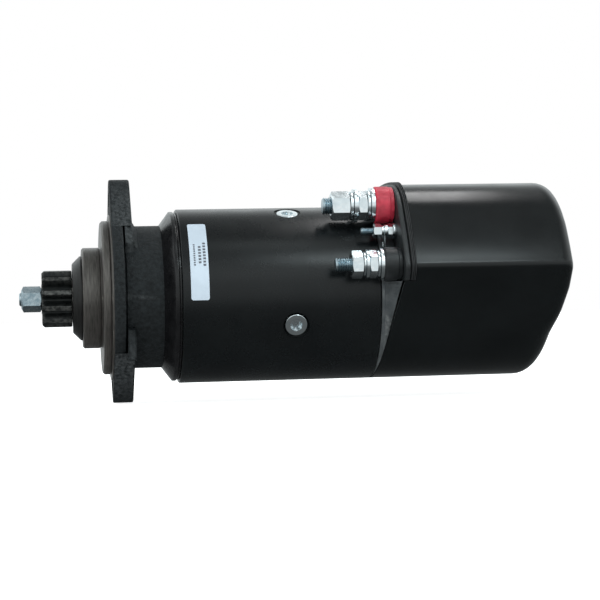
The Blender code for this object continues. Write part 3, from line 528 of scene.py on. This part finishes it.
def drive_end(materials):
    bolt = [placed(turned([(-8, 0), (-8, BOLT_HOLE_R), (22, BOLT_HOLE_R), (22, 0)], 0,
                          SMALL_ROUND), offset(z=z)) for z in (TOP_EAR_Z, -LOW_EAR_Z - 1.5)]
    plate = cut_from(prism(flange_outline(), PLATE_X, PLATE_BACK_X, 0.9), bolt)
    ear_front = PLATE_X - 0.04
    top_ear = prism(ear_outline(TOP_EAR_Z, TOP_EAR_R + 0.04, 50.0), ear_front, EAR_BACK_X, 1.2)
    low_ear = placed(prism(ear_outline(LOW_EAR_Z, LOW_EAR_R + 0.04, 39.0), ear_front,
                           EAR_BACK_X, 1.2), about_axis(180))
    neck = turned([(2.0, 30.0), (2.0, 58.0), (PLATE_BACK_X - 0.4, 58.0),
                   (PLATE_BACK_X - 0.4, GROOVE_R), (PLATE_BACK_X + 1.6, GROOVE_R),
                   (PLATE_BACK_X + 1.6, NECK_R), (NECK_END_X, NECK_R), (NECK_END_X, 46.0),
                   (20.0, 46.0), (20.0, 30.0)], 0.6)
    behind = PLATE_BACK_X + 1.4
    rib = prism([(-54.0, -43.0), (-53.6, -27.0), (-51.5, -23.0), (-46.0, -21.5), (-40.0, -26.0),
                 (-36.0, -44.0)], behind, EAR_BACK_X + 0.3, 1.0)
    web = stacked([[(x, y, z) for y, z in outline] for x, outline in (
        (behind, [(-22.0, 56.0), (-35.0, 51.0), (-43.0, 38.0), (-40.0, 30.0), (-20.0, 45.0)]),
        (EAR_BACK_X, [(-22.0, 54.0), (-34.5, 48.5), (-42.0, 37.0), (-40.0, 30.0), (-20.0, 45.0)]),
        (EAR_BACK_X + 4.0, [(-22.0, 47.0), (-33.5, 38.8), (-39.5, 32.0), (-38.0, 28.0),
                            (-20.0, 42.0)]))])
    add_piece("flange_casting",
              joined([plate, neck, rib, web] + [cut_from(ear, bolt) for ear in
                                                 (top_ear, low_ear)]),
              materials["cast"], replaces=["drive_end_shield"])
    machined = turned([
        (NOSE_X, NOSE_BORE_R), (NOSE_X, NOSE_R - 1.2), (NOSE_X + 1.2, NOSE_R),
        (PILOT_X - 1.6, NOSE_R), (PILOT_X - 1.2, NOSE_R - 0.7), (PILOT_X, NOSE_R - 0.7),
        (PILOT_X, PILOT_R - 1.4), (PILOT_X + 1.4, PILOT_R), (-0.8, PILOT_R),
        (-0.6, PILOT_R - 0.8), (0, PILOT_R - 0.8), (0, LAND_R - 0.3), (0.4, LAND_R),
        (1.6, LAND_R), (1.6, NOSE_BORE_R)], 0.3)
    add_piece("nose_and_pilot", machined, materials["machined"])
    flare = turned([(NECK_END_X - 0.2, 46.0), (NECK_END_X - 0.2, NECK_R + 0.05),
                    (RING_X, RING_R), (YOKE.x0 - 2.2, RING_R), (YOKE.x0 - 1.6, RING_R - 0.9),
                    (YOKE.x0 - 0.2, RING_R - 0.9), (YOKE.x0 - 0.2, 50.0)], 0.35)
    add_piece("shield_flare", flare, materials["shield_paint"])
    seal = turned([(SEAL.x0, 16.0), (SEAL.x0, 24.7), (NOSE_X - 1.2, 30.2), (NOSE_X, 30.2),
                   (NOSE_X, 16.0)], 0.35)
    lip = turned([(SEAL.x0, 15.9), (SEAL.x0, 19.0), (SEAL.x0 + 1.0, 19.6),
                  (SEAL.x0 + 1.0, 15.9)], 0.2)
    add_piece("seal_cover", joined([seal, lip]), materials["seal"],
              replaces=["nose_seal_cover"])


def gear_loop(x, tip_r, shrink):
    """One cross-section of the pinion: shrink narrows the teeth towards a chamfered end."""
    flank = [(ROOT_R, 0.43), (ROOT_R + 0.5, 0.36), (PITCH_R - 1.2, 0.29), (PITCH_R, 0.262),
             (PITCH_R + 1.2, 0.222), (PITCH_R + 2.4, 0.176), (tip_r - 0.25, 0.145),
             (tip_r, 0.115)]
    step = 2 * math.pi / TEETH
    loop = []
    for tooth in range(TEETH):
        middle = tooth * step + TOOTH_TURN
        sides = [(min(r, tip_r), middle - (share - shrink) * step) for r, share in flank]
        sides += [(min(r, tip_r), middle + (share - shrink) * step)
                  for r, share in reversed(flank)]
        loop += [(x, r * math.cos(a), r * math.sin(a)) for r, a in sides]
    return loop


def drive(materials):
    x0, x1 = PINION.x0, PINION.x1
    gear = stacked([gear_loop(x0, TIP_R - 1.6, 0.05), gear_loop(x0 + 1.6, TIP_R - 0.1, 0.012),
                    gear_loop(x0 + 2.0, TIP_R, 0.0), gear_loop(x1 - 0.6, TIP_R, 0.0),
                    gear_loop(x1, TIP_R - 0.6, 0.012)])
    collar = turned([(x0 - 0.28, THREAD_R), (x0 - 0.28, 10.5), (x0 + 1.0, 11.5),
                     (x0 + 1.0, THREAD_R)], 0.25, SMALL_ROUND)
    add_piece("pinion_gear", joined([gear, collar]), materials["gear"], "drive",
              ["pinion"])
    nut = chamfered_nut(NUT.y1 - NUT.y0, NUT.x0, NUT.x1, THREAD_R, domed=True)
    add_piece("spindle_nut", nut, materials["thread"], "drive", ["pinion_nut"])
    add_piece("spindle_thread", threaded(SPINDLE.x0, NUT.x1, THREAD_R - 0.1, 1.25),
              materials["thread"], "drive")


def chamfered_nut(flats, x0, x1, bore_r, domed=False):
    """A hexagon nut with chamfered ends, one corner up and one down."""
    corner_r = flats / math.sqrt(3)
    hexagon = prism(arc((0, 0), corner_r, 30, 330, 5), x0, x1, 0.15, 2)
    chamfer = (corner_r - flats / 2 * 0.96) * (1.0 if domed else 0.6)
    face_r = flats / 2 * 0.96
    cone = turned([(x0 - 0.01, 0), (x0 - 0.01, face_r - (1.2 if domed else 0.0)),
                   (x0 + chamfer, corner_r + 0.05), (x1 - 0.6 * chamfer, corner_r + 0.05),
                   (x1 + 0.01, face_r), (x1 + 0.01, 0)], 0.1, SMALL_ROUND)
    hole = turned([(x0 - 1, 0), (x0 - 1, bore_r + 1.4), (x0 + 1.0, bore_r), (x1 - 0.8, bore_r),
                   (x1 + 1, bore_r + 1.4), (x1 + 1, 0)], 0, SMALL_ROUND)
    return cut_from(cut_from(hexagon, [cone], "INTERSECT"), [hole])


def threaded(x0, x1, radius, pitch):
    """A stud along X with a thread of the given pitch and a chamfered tip."""
    depth = 0.55 * pitch
    points = [(x0, 0), (x0, radius - depth - 0.2), (x0 + 0.9, radius - 0.1)]
    x = x0 + 1.2
    while x < x1 - pitch:
        points += [(x, radius), (x + pitch * 0.12, radius), (x + pitch * 0.5, radius - depth),
                   (x + pitch * 0.62, radius - depth)]
        x += pitch
    points += [(x1, radius), (x1, 0)]
    return turned(points, 0, SMALL_ROUND)


# ---------------------------------------------------------------- yoke, pole screws and label

def yoke(materials):
    edge = 0.7
    tube = turned([(YOKE.x0, YOKE_R - 5.9), (YOKE.x0, YOKE_R - edge), (YOKE.x0 + edge, YOKE_R),
                   (YOKE.x1 - edge, YOKE_R), (YOKE.x1, YOKE_R - edge), (YOKE.x1, YOKE_R - 5.9)],
                  0.3, 192)
    turns = [about_axis(POLE_TILT + 360.0 / POLE_COUNT * k) for k in range(POLE_COUNT)]
    seat = turned([(50.0, 0), (50.0, 5.8), (58.2, 5.8), (61.0, 9.1), (61.4, 9.3), (66.0, 9.5),
                   (66.0, 0)], 0.1, SMALL_ROUND)
    seat = placed(seat, offset(x=POLE_SCREW_X) @ UPRIGHT)
    add_piece("yoke_tube", cut_from(tube, [placed(seat, turn) for turn in turns]),
              materials["paint"], replaces=["yoke"])
    head = turned([(50.0, 0), (50.0, 4.6), (57.4, 4.6), (60.6, 7.7), (61.3, 7.9), (61.7, 7.5),
                   (61.7, 0)], 0.2, SMALL_ROUND)
    recess = turned([(57.9, 0), (57.9, 2.6), (60.4, 3.9), (63.0, 4.4), (63.0, 0)], 0, 32)
    slots = prism([(r * math.cos(a), r * math.sin(a)) for r, a in star_points(3.2, 4.5)],
                  58.4, 63.0, 0.05, 1)
    screw = cut_from(head, [recess, slots])
    for number, turn in enumerate(turns, start=1):
        add_piece(f"pole_screw_head_{number}",
                  placed(placed(screw, offset(x=POLE_SCREW_X) @ UPRIGHT), turn),
                  materials["zinc"], replaces=[f"pole_screw_{number}"])


def star_points(inner_r, outer_r, points=6):
    """A rounded star, as a multi-point screw socket has."""
    return [(inner_r + (outer_r - inner_r) * (0.5 + 0.5 * math.cos(points * angle)), angle)
            for angle in (2 * math.pi * k / (points * 8) for k in range(points * 8))]


def bent(u, v, lift):
    """A point on the yoke: u along the shaft, v degrees above the horizontal at the terminals."""
    angle = math.radians(180 - v)
    radius = YOKE_R + lift
    return Vector((u, radius * math.cos(angle), radius * math.sin(angle))) * MM


def sticker(u0, u1, v0, v1, corner, lift, thickness):
    """A rounded rectangle of film laid on the yoke, as a closed thin sheet."""
    degrees = math.degrees(1 / YOKE_R)
    corners = [(u0, v0 / degrees), (u0, v1 / degrees), (u1, v1 / degrees), (u1, v0 / degrees)]
    outline = rounded([(point, corner, 6) for point in corners])
    fine = []
    for here, following in zip(outline, outline[1:] + outline[:1]):
        parts = max(1, int((Vector(here) - Vector(following)).length / 1.5))
        fine += [tuple(Vector(here).lerp(Vector(following), k / parts)) for k in range(parts)]
    middle_v = (v0 + v1) / 2 / degrees
    bm = bmesh.new()
    top = [bm.verts.new(bent(u, v * degrees, lift + thickness)) for u, v in fine]
    low = [bm.verts.new(bent(u, v * degrees, lift)) for u, v in fine]
    count = len(fine)
    for k in range(count):
        bm.faces.new([low[k], low[(k + 1) % count], top[(k + 1) % count], top[k]])
    by_row = sorted(range(count), key=lambda k: fine[k][1])
    left = [k for k in by_row if fine[k][0] < (u0 + u1) / 2]
    right = [k for k in by_row if fine[k][0] >= (u0 + u1) / 2]
    for ring in (top, low):
        ladder_faces(bm, [ring[k] for k in left], [ring[k] for k in right])
    return mesh_from(bm, sharp=40.0)


def ladder_faces(bm, left, right):
    """Fills between two rows of vertices that run the same way."""
    i = j = 0
    while i < len(left) - 1 or j < len(right) - 1:
        take_left = j == len(right) - 1 or (i < len(left) - 1 and
                                            i / (len(left) - 1) <= j / (len(right) - 1))
        if take_left:
            bm.faces.new([left[i], left[i + 1], right[j]])
            i += 1
        else:
            bm.faces.new([left[i], right[j + 1], right[j]])
            j += 1


def label(materials):
    v0, v1 = -3.0, 53.0
    film = sticker(LABEL.x0, LABEL.x1, v0, v1, 1.6, 0.05, 0.3)
    add_piece("label_film", film, materials["label"], replaces=["rating_label"])
    middle = (v0 + v1) / 2 + 2.0
    bars = []
    for across, length, gap, tall in ((2.6, 15.5, 1.6, 1.3), (6.0, 12.5, 2.2, 1.9),
                                      (9.2, 16.0, 2.2, 1.9)):
        v = middle - length / 2
        while v < middle + length / 2:
            bars.append(sticker(LABEL.x0 + across, LABEL.x0 + across + tall, v, v + gap * 0.62,
                                0.2, 0.35, 0.06))
            v += gap
    add_piece("label_print", joined(bars), materials["ink"])


# ---------------------------------------------------------------- rear end

def cap_outline(grow=0.0):
    reach = math.hypot(CREASE_HALF, CREASE_Z)
    lower = math.acos(YOKE_R / reach) - math.atan2(CREASE_Z, CREASE_HALF)
    apex_z = -YOKE_R / math.sin(lower)
    outline = rounded([((CREASE_HALF, CREASE_Z), CREASE_R, 10),
                       ((TOP_HALF, CAP.z1), TOP_CORNER_R, 20),
                       ((-TOP_HALF, CAP.z1), TOP_CORNER_R, 20),
                       ((-CREASE_HALF, CREASE_Z), CREASE_R, 10),
                       ((0.0, apex_z), YOKE_R, 48)])
    fine = []
    for here, following in zip(outline, outline[1:] + outline[:1]):
        start, run = Vector(here), Vector(following) - Vector(here)
        parts = max(1, int(run.length / 3.0))
        outward = Vector((run.y, -run.x)).normalized()
        swell = FACET_SWELL * min(run.length / 50.0, 1.0)
        fine += [tuple(start + run * k / parts + outward * swell * 4 * k / parts *
                       (1 - k / parts)) for k in range(parts)]
    return grown(fine, grow)


def rear_x(z, back):
    return back - max(0.0, REAR_BEND_Z - z) * REAR_SLOPE


def eased_step(value, start, end):
    """Rises smoothly from 0 at start to 1 at end."""
    share = min(max((value - start) / (end - start), 0.0), 1.0)
    return share * share * (3 - 2 * share)


def rear_round(z):
    """Radius of the rear edge: it grows towards the top and towards the bottom."""
    top = (TOP_ROUND - REAR_ROUND) * eased_step(z, 45.0, 75.0)
    low = (LOW_ROUND - REAR_ROUND) * eased_step(-z, 15.0, 40.0)
    return REAR_ROUND + top + low


def cap_skin(grow, front, back, inset):
    """Loops from the cap's front, over its rounded rear edge, to the middle of its rear face."""
    outline = cap_outline(grow)
    loops = [[(front, y, z) for y, z in outline]]
    for step in range(9):
        angle = math.pi / 2 * step / 8
        loop = []
        for y, z in outline:
            radius = rear_round(z) - inset
            shrink = 1 - radius * (1 - math.cos(angle)) / math.hypot(y, z)
            loop.append((rear_x(z, back) - radius * (1 - math.sin(angle)),
                         y * shrink, z * shrink))
        loops.append(loop)
    edge = loops[-1]
    for share in (0.8, 0.6, 0.4, 0.2, 0.05):
        loops.append([(rear_x(z * share + REAR_BEND_Z * (1 - share), back), y * share,
                       z * share + REAR_BEND_Z * (1 - share)) for x, y, z in edge])
    return loops


def lower_edge_x(z):
    """Front edge of the cap below the lip."""
    low_x = YOKE.x1 + 0.3
    return low_x + (BOARD.x0 - YOKE.x1) * (z + YOKE_R) / (LIP_Z + YOKE_R)


def side_prism(outline, half_width):
    """Extrudes an (x, z) outline along Y, to both sides of the shaft axis."""
    flat = [[(x, side * half_width, z) for x, z in outline] for side in (-1, 1)]
    bm = bmesh.new()
    rings = [[bm.verts.new(Vector(point) * MM) for point in loop] for loop in flat]
    count = len(outline)
    for k in range(count):
        bm.faces.new([rings[0][k], rings[0][(k + 1) % count],
                      rings[1][(k + 1) % count], rings[1][k]])
    for ring in rings:
        for triangle in tessellate_polygon([[Vector((x, z, 0.0)) for x, z in outline]]):
            bm.faces.new([ring[k] for k in triangle])
    return mesh_from(bm)


def below_lip():
    """A cutter for everything lower than the lip, at the cap's front."""
    return side_prism([(CUT_X0, -CUT_REACH), (CUT_X1, -CUT_REACH), (CUT_X1, LIP_Z),
                       (CUT_X0, LIP_Z)], CUT_REACH)


def rear_cap(materials):
    outer = cap_skin(0.0, CAP_SKIN_X, CAP.x1, 0.0)
    inner = cap_skin(-CAP_WALL, CAP_SKIN_X, CAP.x1 - CAP_WALL, CAP_WALL)
    shell = stacked(inner[::-1] + outer, sharp=40.0)
    low_z = -YOKE_R - 10
    front = side_prism([(CUT_X0, low_z), (lower_edge_x(low_z), low_z),
                        (lower_edge_x(LIP_Z), LIP_Z - GAP), (GASKET.x1 + GAP, LIP_Z - GAP),
                        (GASKET.x1 + GAP, CUT_REACH), (CUT_X0, CUT_REACH)], CUT_REACH)
    add_piece("cap_shell", cut_from(shell, [front]), materials["cap_paint"],
              replaces=["rear_cap"])


def band(profile, material, name, replaces=()):
    """A band round the cap's front above the lip: (x, grow) points of its outer side."""
    deep = -4.5
    outer = [[(x, y, z) for y, z in cap_outline(grow)] for x, grow in profile]
    inner = [[(x, y, z) for y, z in cap_outline(deep)] for x in (profile[-1][0], profile[0][0])]
    bm = bmesh.new()
    rings = [[bm.verts.new(Vector(point) * MM) for point in loop] for loop in outer + inner]
    count = len(rings[0])
    for first, second in zip(rings, rings[1:] + rings[:1]):
        for k in range(count):
            bm.faces.new([first[k], first[(k + 1) % count],
                          second[(k + 1) % count], second[k]])
    mesh = cut_from(mesh_from(bm), [below_lip()])
    return add_piece(name, mesh, material, replaces=replaces)


def terminal_board(materials):
    passage = turned([(190.0, 0), (190.0, 56.5), (212.0, 56.5), (212.0, 0)], 0, ROUND)
    plate = cut_from(prism(cap_outline(), BOARD.x0, BOARD.x1, 0.9), [below_lip(), passage])
    add_piece("board_plate", plate, materials["plastic"],
              replaces=["terminal_board"])
    x0, x1 = GASKET.x0, GASKET.x1
    third = (x1 - x0) / 3
    ridges = []
    for ridge in range(3):
        start = x0 + ridge * third
        ridges += [(start, 0.9), (start + 0.25 * third, 1.9), (start + 0.6 * third, 1.9),
                   (start + 0.85 * third, 0.9)]
    band(ridges, materials["rubber"], "gasket_ridges", ["cap_gasket"])


def flare_rib(start, end):
    """A ridge with a facet behind it, on the terminal side of the flare and its drum."""
    lower = math.acos(YOKE_R / math.hypot(CREASE_HALF, CREASE_Z))
    lower -= math.atan2(CREASE_Z, CREASE_HALF)

    def skin(x, z, lift):
        share = max(0.0, (x - start) / (end - start))
        wide = (YOKE_R + z * math.sin(lower)) / math.cos(lower)
        narrow = math.sqrt(DRUM_R ** 2 - z ** 2)
        return x, -(narrow + (wide - narrow) * share) - lift, z

    loops = []
    for z, ridge_x in ((9.0, YOKE.x1 + 2.6), (-5.0, YOKE.x1 + 4.6), (-14.0, YOKE.x1 + 6.0),
                       (-25.0, YOKE.x1 + 7.8)):
        loops.append([skin(ridge_x, z, -2.0), skin(ridge_x, z, 0.3), skin(ridge_x + 0.7, z, 1.7),
                      skin(ridge_x + 1.4, z, 1.8), skin(ridge_x + 2.2, z, 0.8),
                      skin(end, z, 0.7), skin(end, z, -2.0)])
    return stacked(loops, capped=True)


def end_shield(materials):
    low_z = -YOKE_R - 10
    wide = cap_outline(-GAP)
    circle = [tuple(Vector(point).normalized() * (YOKE_R - GAP)) for point in wide]
    start, end = END_SHIELD.x0 + 7.5, BOARD.x1
    flare = stacked([[(start, y, z) for y, z in circle], [(end, y, z) for y, z in wide]])
    behind = side_prism([(lower_edge_x(low_z) - GAP, low_z), (CUT_X1, low_z), (CUT_X1, LIP_Z),
                         (lower_edge_x(LIP_Z) - GAP, LIP_Z)], CUT_REACH)
    above = side_prism([(CUT_X0, LIP_Z - GAP), (CUT_X1, LIP_Z - GAP), (CUT_X1, CUT_REACH),
                        (CUT_X0, CUT_REACH)], CUT_REACH)
    rib = cut_from(flare_rib(start, end), [behind, above], ease=0.25)
    flare = cut_from(flare, [behind, above], ease=0.3)
    drum = turned([(YOKE.x1 - 4.0, 51.5), (YOKE.x1 - 4.0, 56.2), (YOKE.x1 + 0.3, 56.2),
                   (YOKE.x1 + 0.3, YOKE_R - 0.4), (YOKE.x1 + 3.0, YOKE_R - 0.4),
                   (YOKE.x1 + 3.4, DRUM_R), (BOARD.x0 - 0.4, DRUM_R),
                   (BOARD.x0 - 0.4, BEARING_SEAT_R), (WEB_X, BEARING_SEAT_R), (WEB_X, 51.5)], 0.3)
    drum = cut_from(drum, [behind])
    add_piece("end_shield_casting", joined([flare, rib, drum]), materials["grey"],
              replaces=["commutator_end_shield"])


# ---------------------------------------------------------------- terminals

def washer_stack(x0, x1, bore_r, outer_r):
    """A flat washer beside the nut and a spring washer behind it."""
    flat = turned([(x0, bore_r), (x0, outer_r * 0.86), (x0 + (x1 - x0) * 0.38, outer_r * 0.86),
                   (x0 + (x1 - x0) * 0.38, bore_r)], 0.25, SMALL_ROUND)
    wide = turned([(x0 + (x1 - x0) * 0.45, bore_r), (x0 + (x1 - x0) * 0.45, outer_r),
                   (x1, outer_r), (x1, bore_r)], 0.25, SMALL_ROUND)
    return joined([flat, wide])


def terminal(number, materials, pitch):
    stud = box_of(f"terminal_{number}_stud")
    place = offset(y=(stud.y0 + stud.y1) / 2, z=(stud.z0 + stud.z1) / 2)
    stud_r = (stud.z1 - stud.z0) / 2
    outer, inner = box_of(f"terminal_{number}_outer_nut"), box_of(f"terminal_{number}_inner_nut")
    zinc = materials["zinc"]
    add_piece(f"stud_{number}", placed(threaded(stud.x0, stud.x1, stud_r, pitch), place),
              materials["thread"], replaces=[f"terminal_{number}_stud"])
    for name, nut in (("outer", outer), ("inner", inner)):
        mesh = chamfered_nut(nut.y1 - nut.y0, nut.x0, nut.x1, stud_r - 0.2)
        add_piece(f"nut_{number}_{name}", placed(mesh, place), zinc,
                  replaces=[f"terminal_{number}_{name}_nut"])
    return place, stud_r, outer, inner


def large_terminal(number, materials, colour):
    place, stud_r, outer, inner = terminal(number, materials, 1.6)
    washer = box_of(f"terminal_{number}_washer")
    insulator = box_of(f"terminal_{number}_insulator")
    stack = washer_stack(washer.x0, washer.x1, stud_r + 0.2, (washer.z1 - washer.z0) / 2)
    add_piece(f"washers_{number}", placed(stack, place), materials["zinc"],
              replaces=[f"terminal_{number}_washer"])
    radius = (insulator.z1 - insulator.z0) / 2
    behind = washer_stack(inner.x1 + 0.1, insulator.x0 - 0.1, stud_r + 0.2, radius - 0.6)
    add_piece(f"inner_washers_{number}", placed(behind, place), materials["zinc"])
    bush = turned([(insulator.x0, stud_r + 0.2), (insulator.x0, radius - 1.0),
                   (insulator.x0 + 1.0, radius), (insulator.x1 - 3.0, radius),
                   (insulator.x1 - 2.6, radius - 0.5), (insulator.x1, radius - 0.5),
                   (insulator.x1, stud_r + 0.2)], 0.4, 64)
    add_piece(f"bushing_{number}", placed(bush, place), materials[colour],
              replaces=[f"terminal_{number}_insulator"])


def small_terminal(materials):
    place, stud_r, outer, inner = terminal("50", materials, 0.8)
    between = washer_stack(outer.x1 + 0.1, inner.x0 - 0.1, stud_r + 0.1, 4.6)
    behind = turned([(inner.x1 + 0.1, stud_r + 0.1), (inner.x1 + 0.1, 5.6), (BOARD.x0 - 0.1, 5.6),
                     (BOARD.x0 - 0.1, stud_r + 0.1)], 0.2, SMALL_ROUND)
    add_piece("washers_50", placed(joined([between, behind]), place), materials["zinc"])
    strip = rounded([((-3.6, -13.0), 2.4, 6), ((3.6, -13.0), 2.4, 6), ((3.6, 3.5), 2.4, 6),
                     ((-3.6, 3.5), 2.4, 6)][::-1])
    strip_x = outer.x1 + 1.6
    hole = placed(turned([(-2, 0), (-2, 1.8), (4, 1.8), (4, 0)], 0, 32),
                  offset(x=strip_x, z=-9.4))
    tab = cut_from(prism(strip, strip_x, strip_x + 0.9, 0.2, 2), [hole])
    add_piece("tab_50", placed(tab, place @ Matrix.Rotation(math.radians(12), 4, "X")),
              materials["zinc"])


# ---------------------------------------------------------------- carried-over CAD nodes

CARRIED = {
    "steel": ("drive_spindle", "clutch_hub", "clutch_housing", "armature_shaft", "brush_holder",
              "solenoid_plunger", "engaging_rod", "return_spring"),
    "zinc": ("tie_bolt_1", "tie_bolt_2"),
    "bronze": ("drive_bearing", "rear_bearing"),
    "copper": ("armature_winding", "commutator", "solenoid_coil", "relay_contact_bridge",
               "field_coil_1", "field_coil_2", "field_coil_3", "field_coil_4"),
    "carbon": ("brush_1", "brush_2", "brush_3", "brush_4"),
    "laminate": ("armature_core", "pole_shoe_1", "pole_shoe_2", "pole_shoe_3", "pole_shoe_4"),
    "seal": ("solenoid_housing", "relay_housing", "clutch_plate"),
    "grey": ("intermediate_bearing",),
}


def dress_cad_nodes(materials):
    for key, nodes in CARRIED.items():
        for node in nodes:
            slots = frame["nodes"][node].data.materials
            slots.clear()
            slots.append(materials[key])


# ---------------------------------------------------------------- stage, light and camera

def soft_light(name, elevation, azimuth, distance, size, power, colour=(1.0, 1.0, 1.0),
               along=0.0, glossy=True):
    """An area light aimed at the motor's middle, or along it; azimuth 0 is the camera's side."""
    aim = (Vector(AIM) + Vector((along, 0.0, 0.0))) * MM
    lift, turn = math.radians(elevation), math.radians(azimuth)
    away = Vector((-math.sin(turn) * math.cos(lift), -math.cos(turn) * math.cos(lift),
                   math.sin(lift)))
    data = bpy.data.lights.new(name, "AREA")
    data.shape = "RECTANGLE"
    data.size, data.size_y = size
    data.energy = power
    data.color = colour
    light = bpy.data.objects.new(name, data)
    light.location = aim + away * distance
    light.rotation_euler = (-away).to_track_quat("-Z", "Y").to_euler()
    light.visible_glossy = glossy
    bpy.context.scene.collection.objects.link(light)


def stage():
    mesh = bpy.data.meshes.new("floor")
    half, level = 6.0, cad_low.z - 0.0005
    mesh.from_pydata([(-half, -half, level), (half, -half, level), (half, half, level),
                      (-half, half, level)], [], [(0, 1, 2, 3)])
    floor = bpy.data.objects.new("floor", mesh)
    bpy.context.scene.collection.objects.link(floor)
    pale = surface("pale_floor", (0.82, 0.82, 0.82), (0.86, 0.86, 0.86), (0.8, 0.9),
                   patch=200.0, grain=4.0, relief=0.01)
    shader = pale.node_tree.nodes["Principled BSDF"]
    shader.inputs["Emission Color"].default_value = (1.0, 1.0, 1.0, 1.0)
    shader.inputs["Emission Strength"].default_value = 0.75
    floor.data.materials.append(pale)
    floor.visible_glossy = False


SKY = (                         # elevation in degrees and brightness of the studio round the motor
    (-90.0, 0.08), (-35.0, 0.12), (-15.0, 0.20), (-3.0, 0.84), (8.0, 0.98), (16.0, 0.92),
    (26.0, 1.50), (42.0, 0.85), (58.0, 0.42), (68.0, 0.44), (80.0, 0.34), (90.0, 0.26),
)


def world():
    """A white background for the camera; gloss and light see a studio banded by height."""
    scene = bpy.context.scene
    scene.view_settings.view_transform = "Standard"
    scene.world = bpy.data.worlds.new("studio")
    scene.world.use_nodes = True
    tree = scene.world.node_tree
    background = tree.nodes["Background"]
    ramp = tree.nodes.new("ShaderNodeValToRGB")
    stops = ramp.color_ramp.elements
    while len(stops) < len(SKY):
        stops.new(0.5)
    for stop, (elevation, level) in zip(stops, SKY):
        stop.position = (math.sin(math.radians(elevation)) + 1) / 2
        stop.color = (level * 0.93, level * 0.99, level, 1.0)
    coordinates = tree.nodes.new("ShaderNodeTexCoord")
    split = tree.nodes.new("ShaderNodeSeparateXYZ")
    lift = tree.nodes.new("ShaderNodeMapRange")
    lift.inputs["From Min"].default_value = -1.0
    tree.links.new(coordinates.outputs["Generated"], split.inputs["Vector"])
    tree.links.new(split.outputs["Z"], lift.inputs["Value"])
    tree.links.new(lift.outputs["Result"], ramp.inputs["Fac"])
    tree.links.new(ramp.outputs["Color"], background.inputs["Color"])
    seen = tree.nodes.new("ShaderNodeBackground")
    seen.inputs["Color"].default_value = (1.0, 1.0, 1.0, 1.0)
    path = tree.nodes.new("ShaderNodeLightPath")
    mix = tree.nodes.new("ShaderNodeMixShader")
    tree.links.new(path.outputs["Is Camera Ray"], mix.inputs["Fac"])
    tree.links.new(background.outputs["Background"], mix.inputs[1])
    tree.links.new(seen.outputs["Background"], mix.inputs[2])
    tree.links.new(mix.outputs["Shader"], tree.nodes["World Output"].inputs["Surface"])


def lights():
    soft_light("key", 55.0, 35.0, 1.6, (0.9, 0.9), 9.0, (0.95, 0.99, 1.0), glossy=False)
    soft_light("top_fill", 85.0, 0.0, 1.4, (1.6, 0.6), 5.0, glossy=False)
    soft_light("over_cap", 101.0, 0.0, 1.0, (0.16, 0.50), 1.9, along=302.0)
    soft_light("beside_cap", 46.0, 0.0, 1.0, (0.30, 0.20), 1.5, (0.84, 0.97, 1.0), along=290.0)
    soft_light("over_yoke", 66.0, 0.0, 1.0, (0.26, 0.24), 0.26, (0.90, 1.0, 1.0), along=88.0)


def camera():
    turn = math.radians(VIEW_YAW)
    away = Vector((-math.sin(turn), -math.cos(turn), 0.0))
    data = bpy.data.cameras.new("camera")
    data.lens = LENS
    data.sensor_width = 36.0
    data.clip_end = 50.0
    cam = bpy.data.objects.new("camera", data)
    look = (-away).to_track_quat("-Z", "Y").to_matrix().to_4x4()
    roll = Matrix.Rotation(math.radians(-VIEW_ROLL), 4, "Z")
    cam.matrix_world = Matrix.Translation((Vector(AIM) + away * VIEW_DISTANCE) * MM) @ look @ roll
    bpy.context.scene.collection.objects.link(cam)
    bpy.context.scene.camera = cam


def main():
    materials = make_materials()
    drive_end(materials)
    drive(materials)
    yoke(materials)
    label(materials)
    end_shield(materials)
    rear_cap(materials)
    terminal_board(materials)
    large_terminal("30", materials, "red")
    large_terminal("31", materials, "plastic")
    small_terminal(materials)
    dress_cad_nodes(materials)
    stage()
    world()
    lights()
    camera()


main()
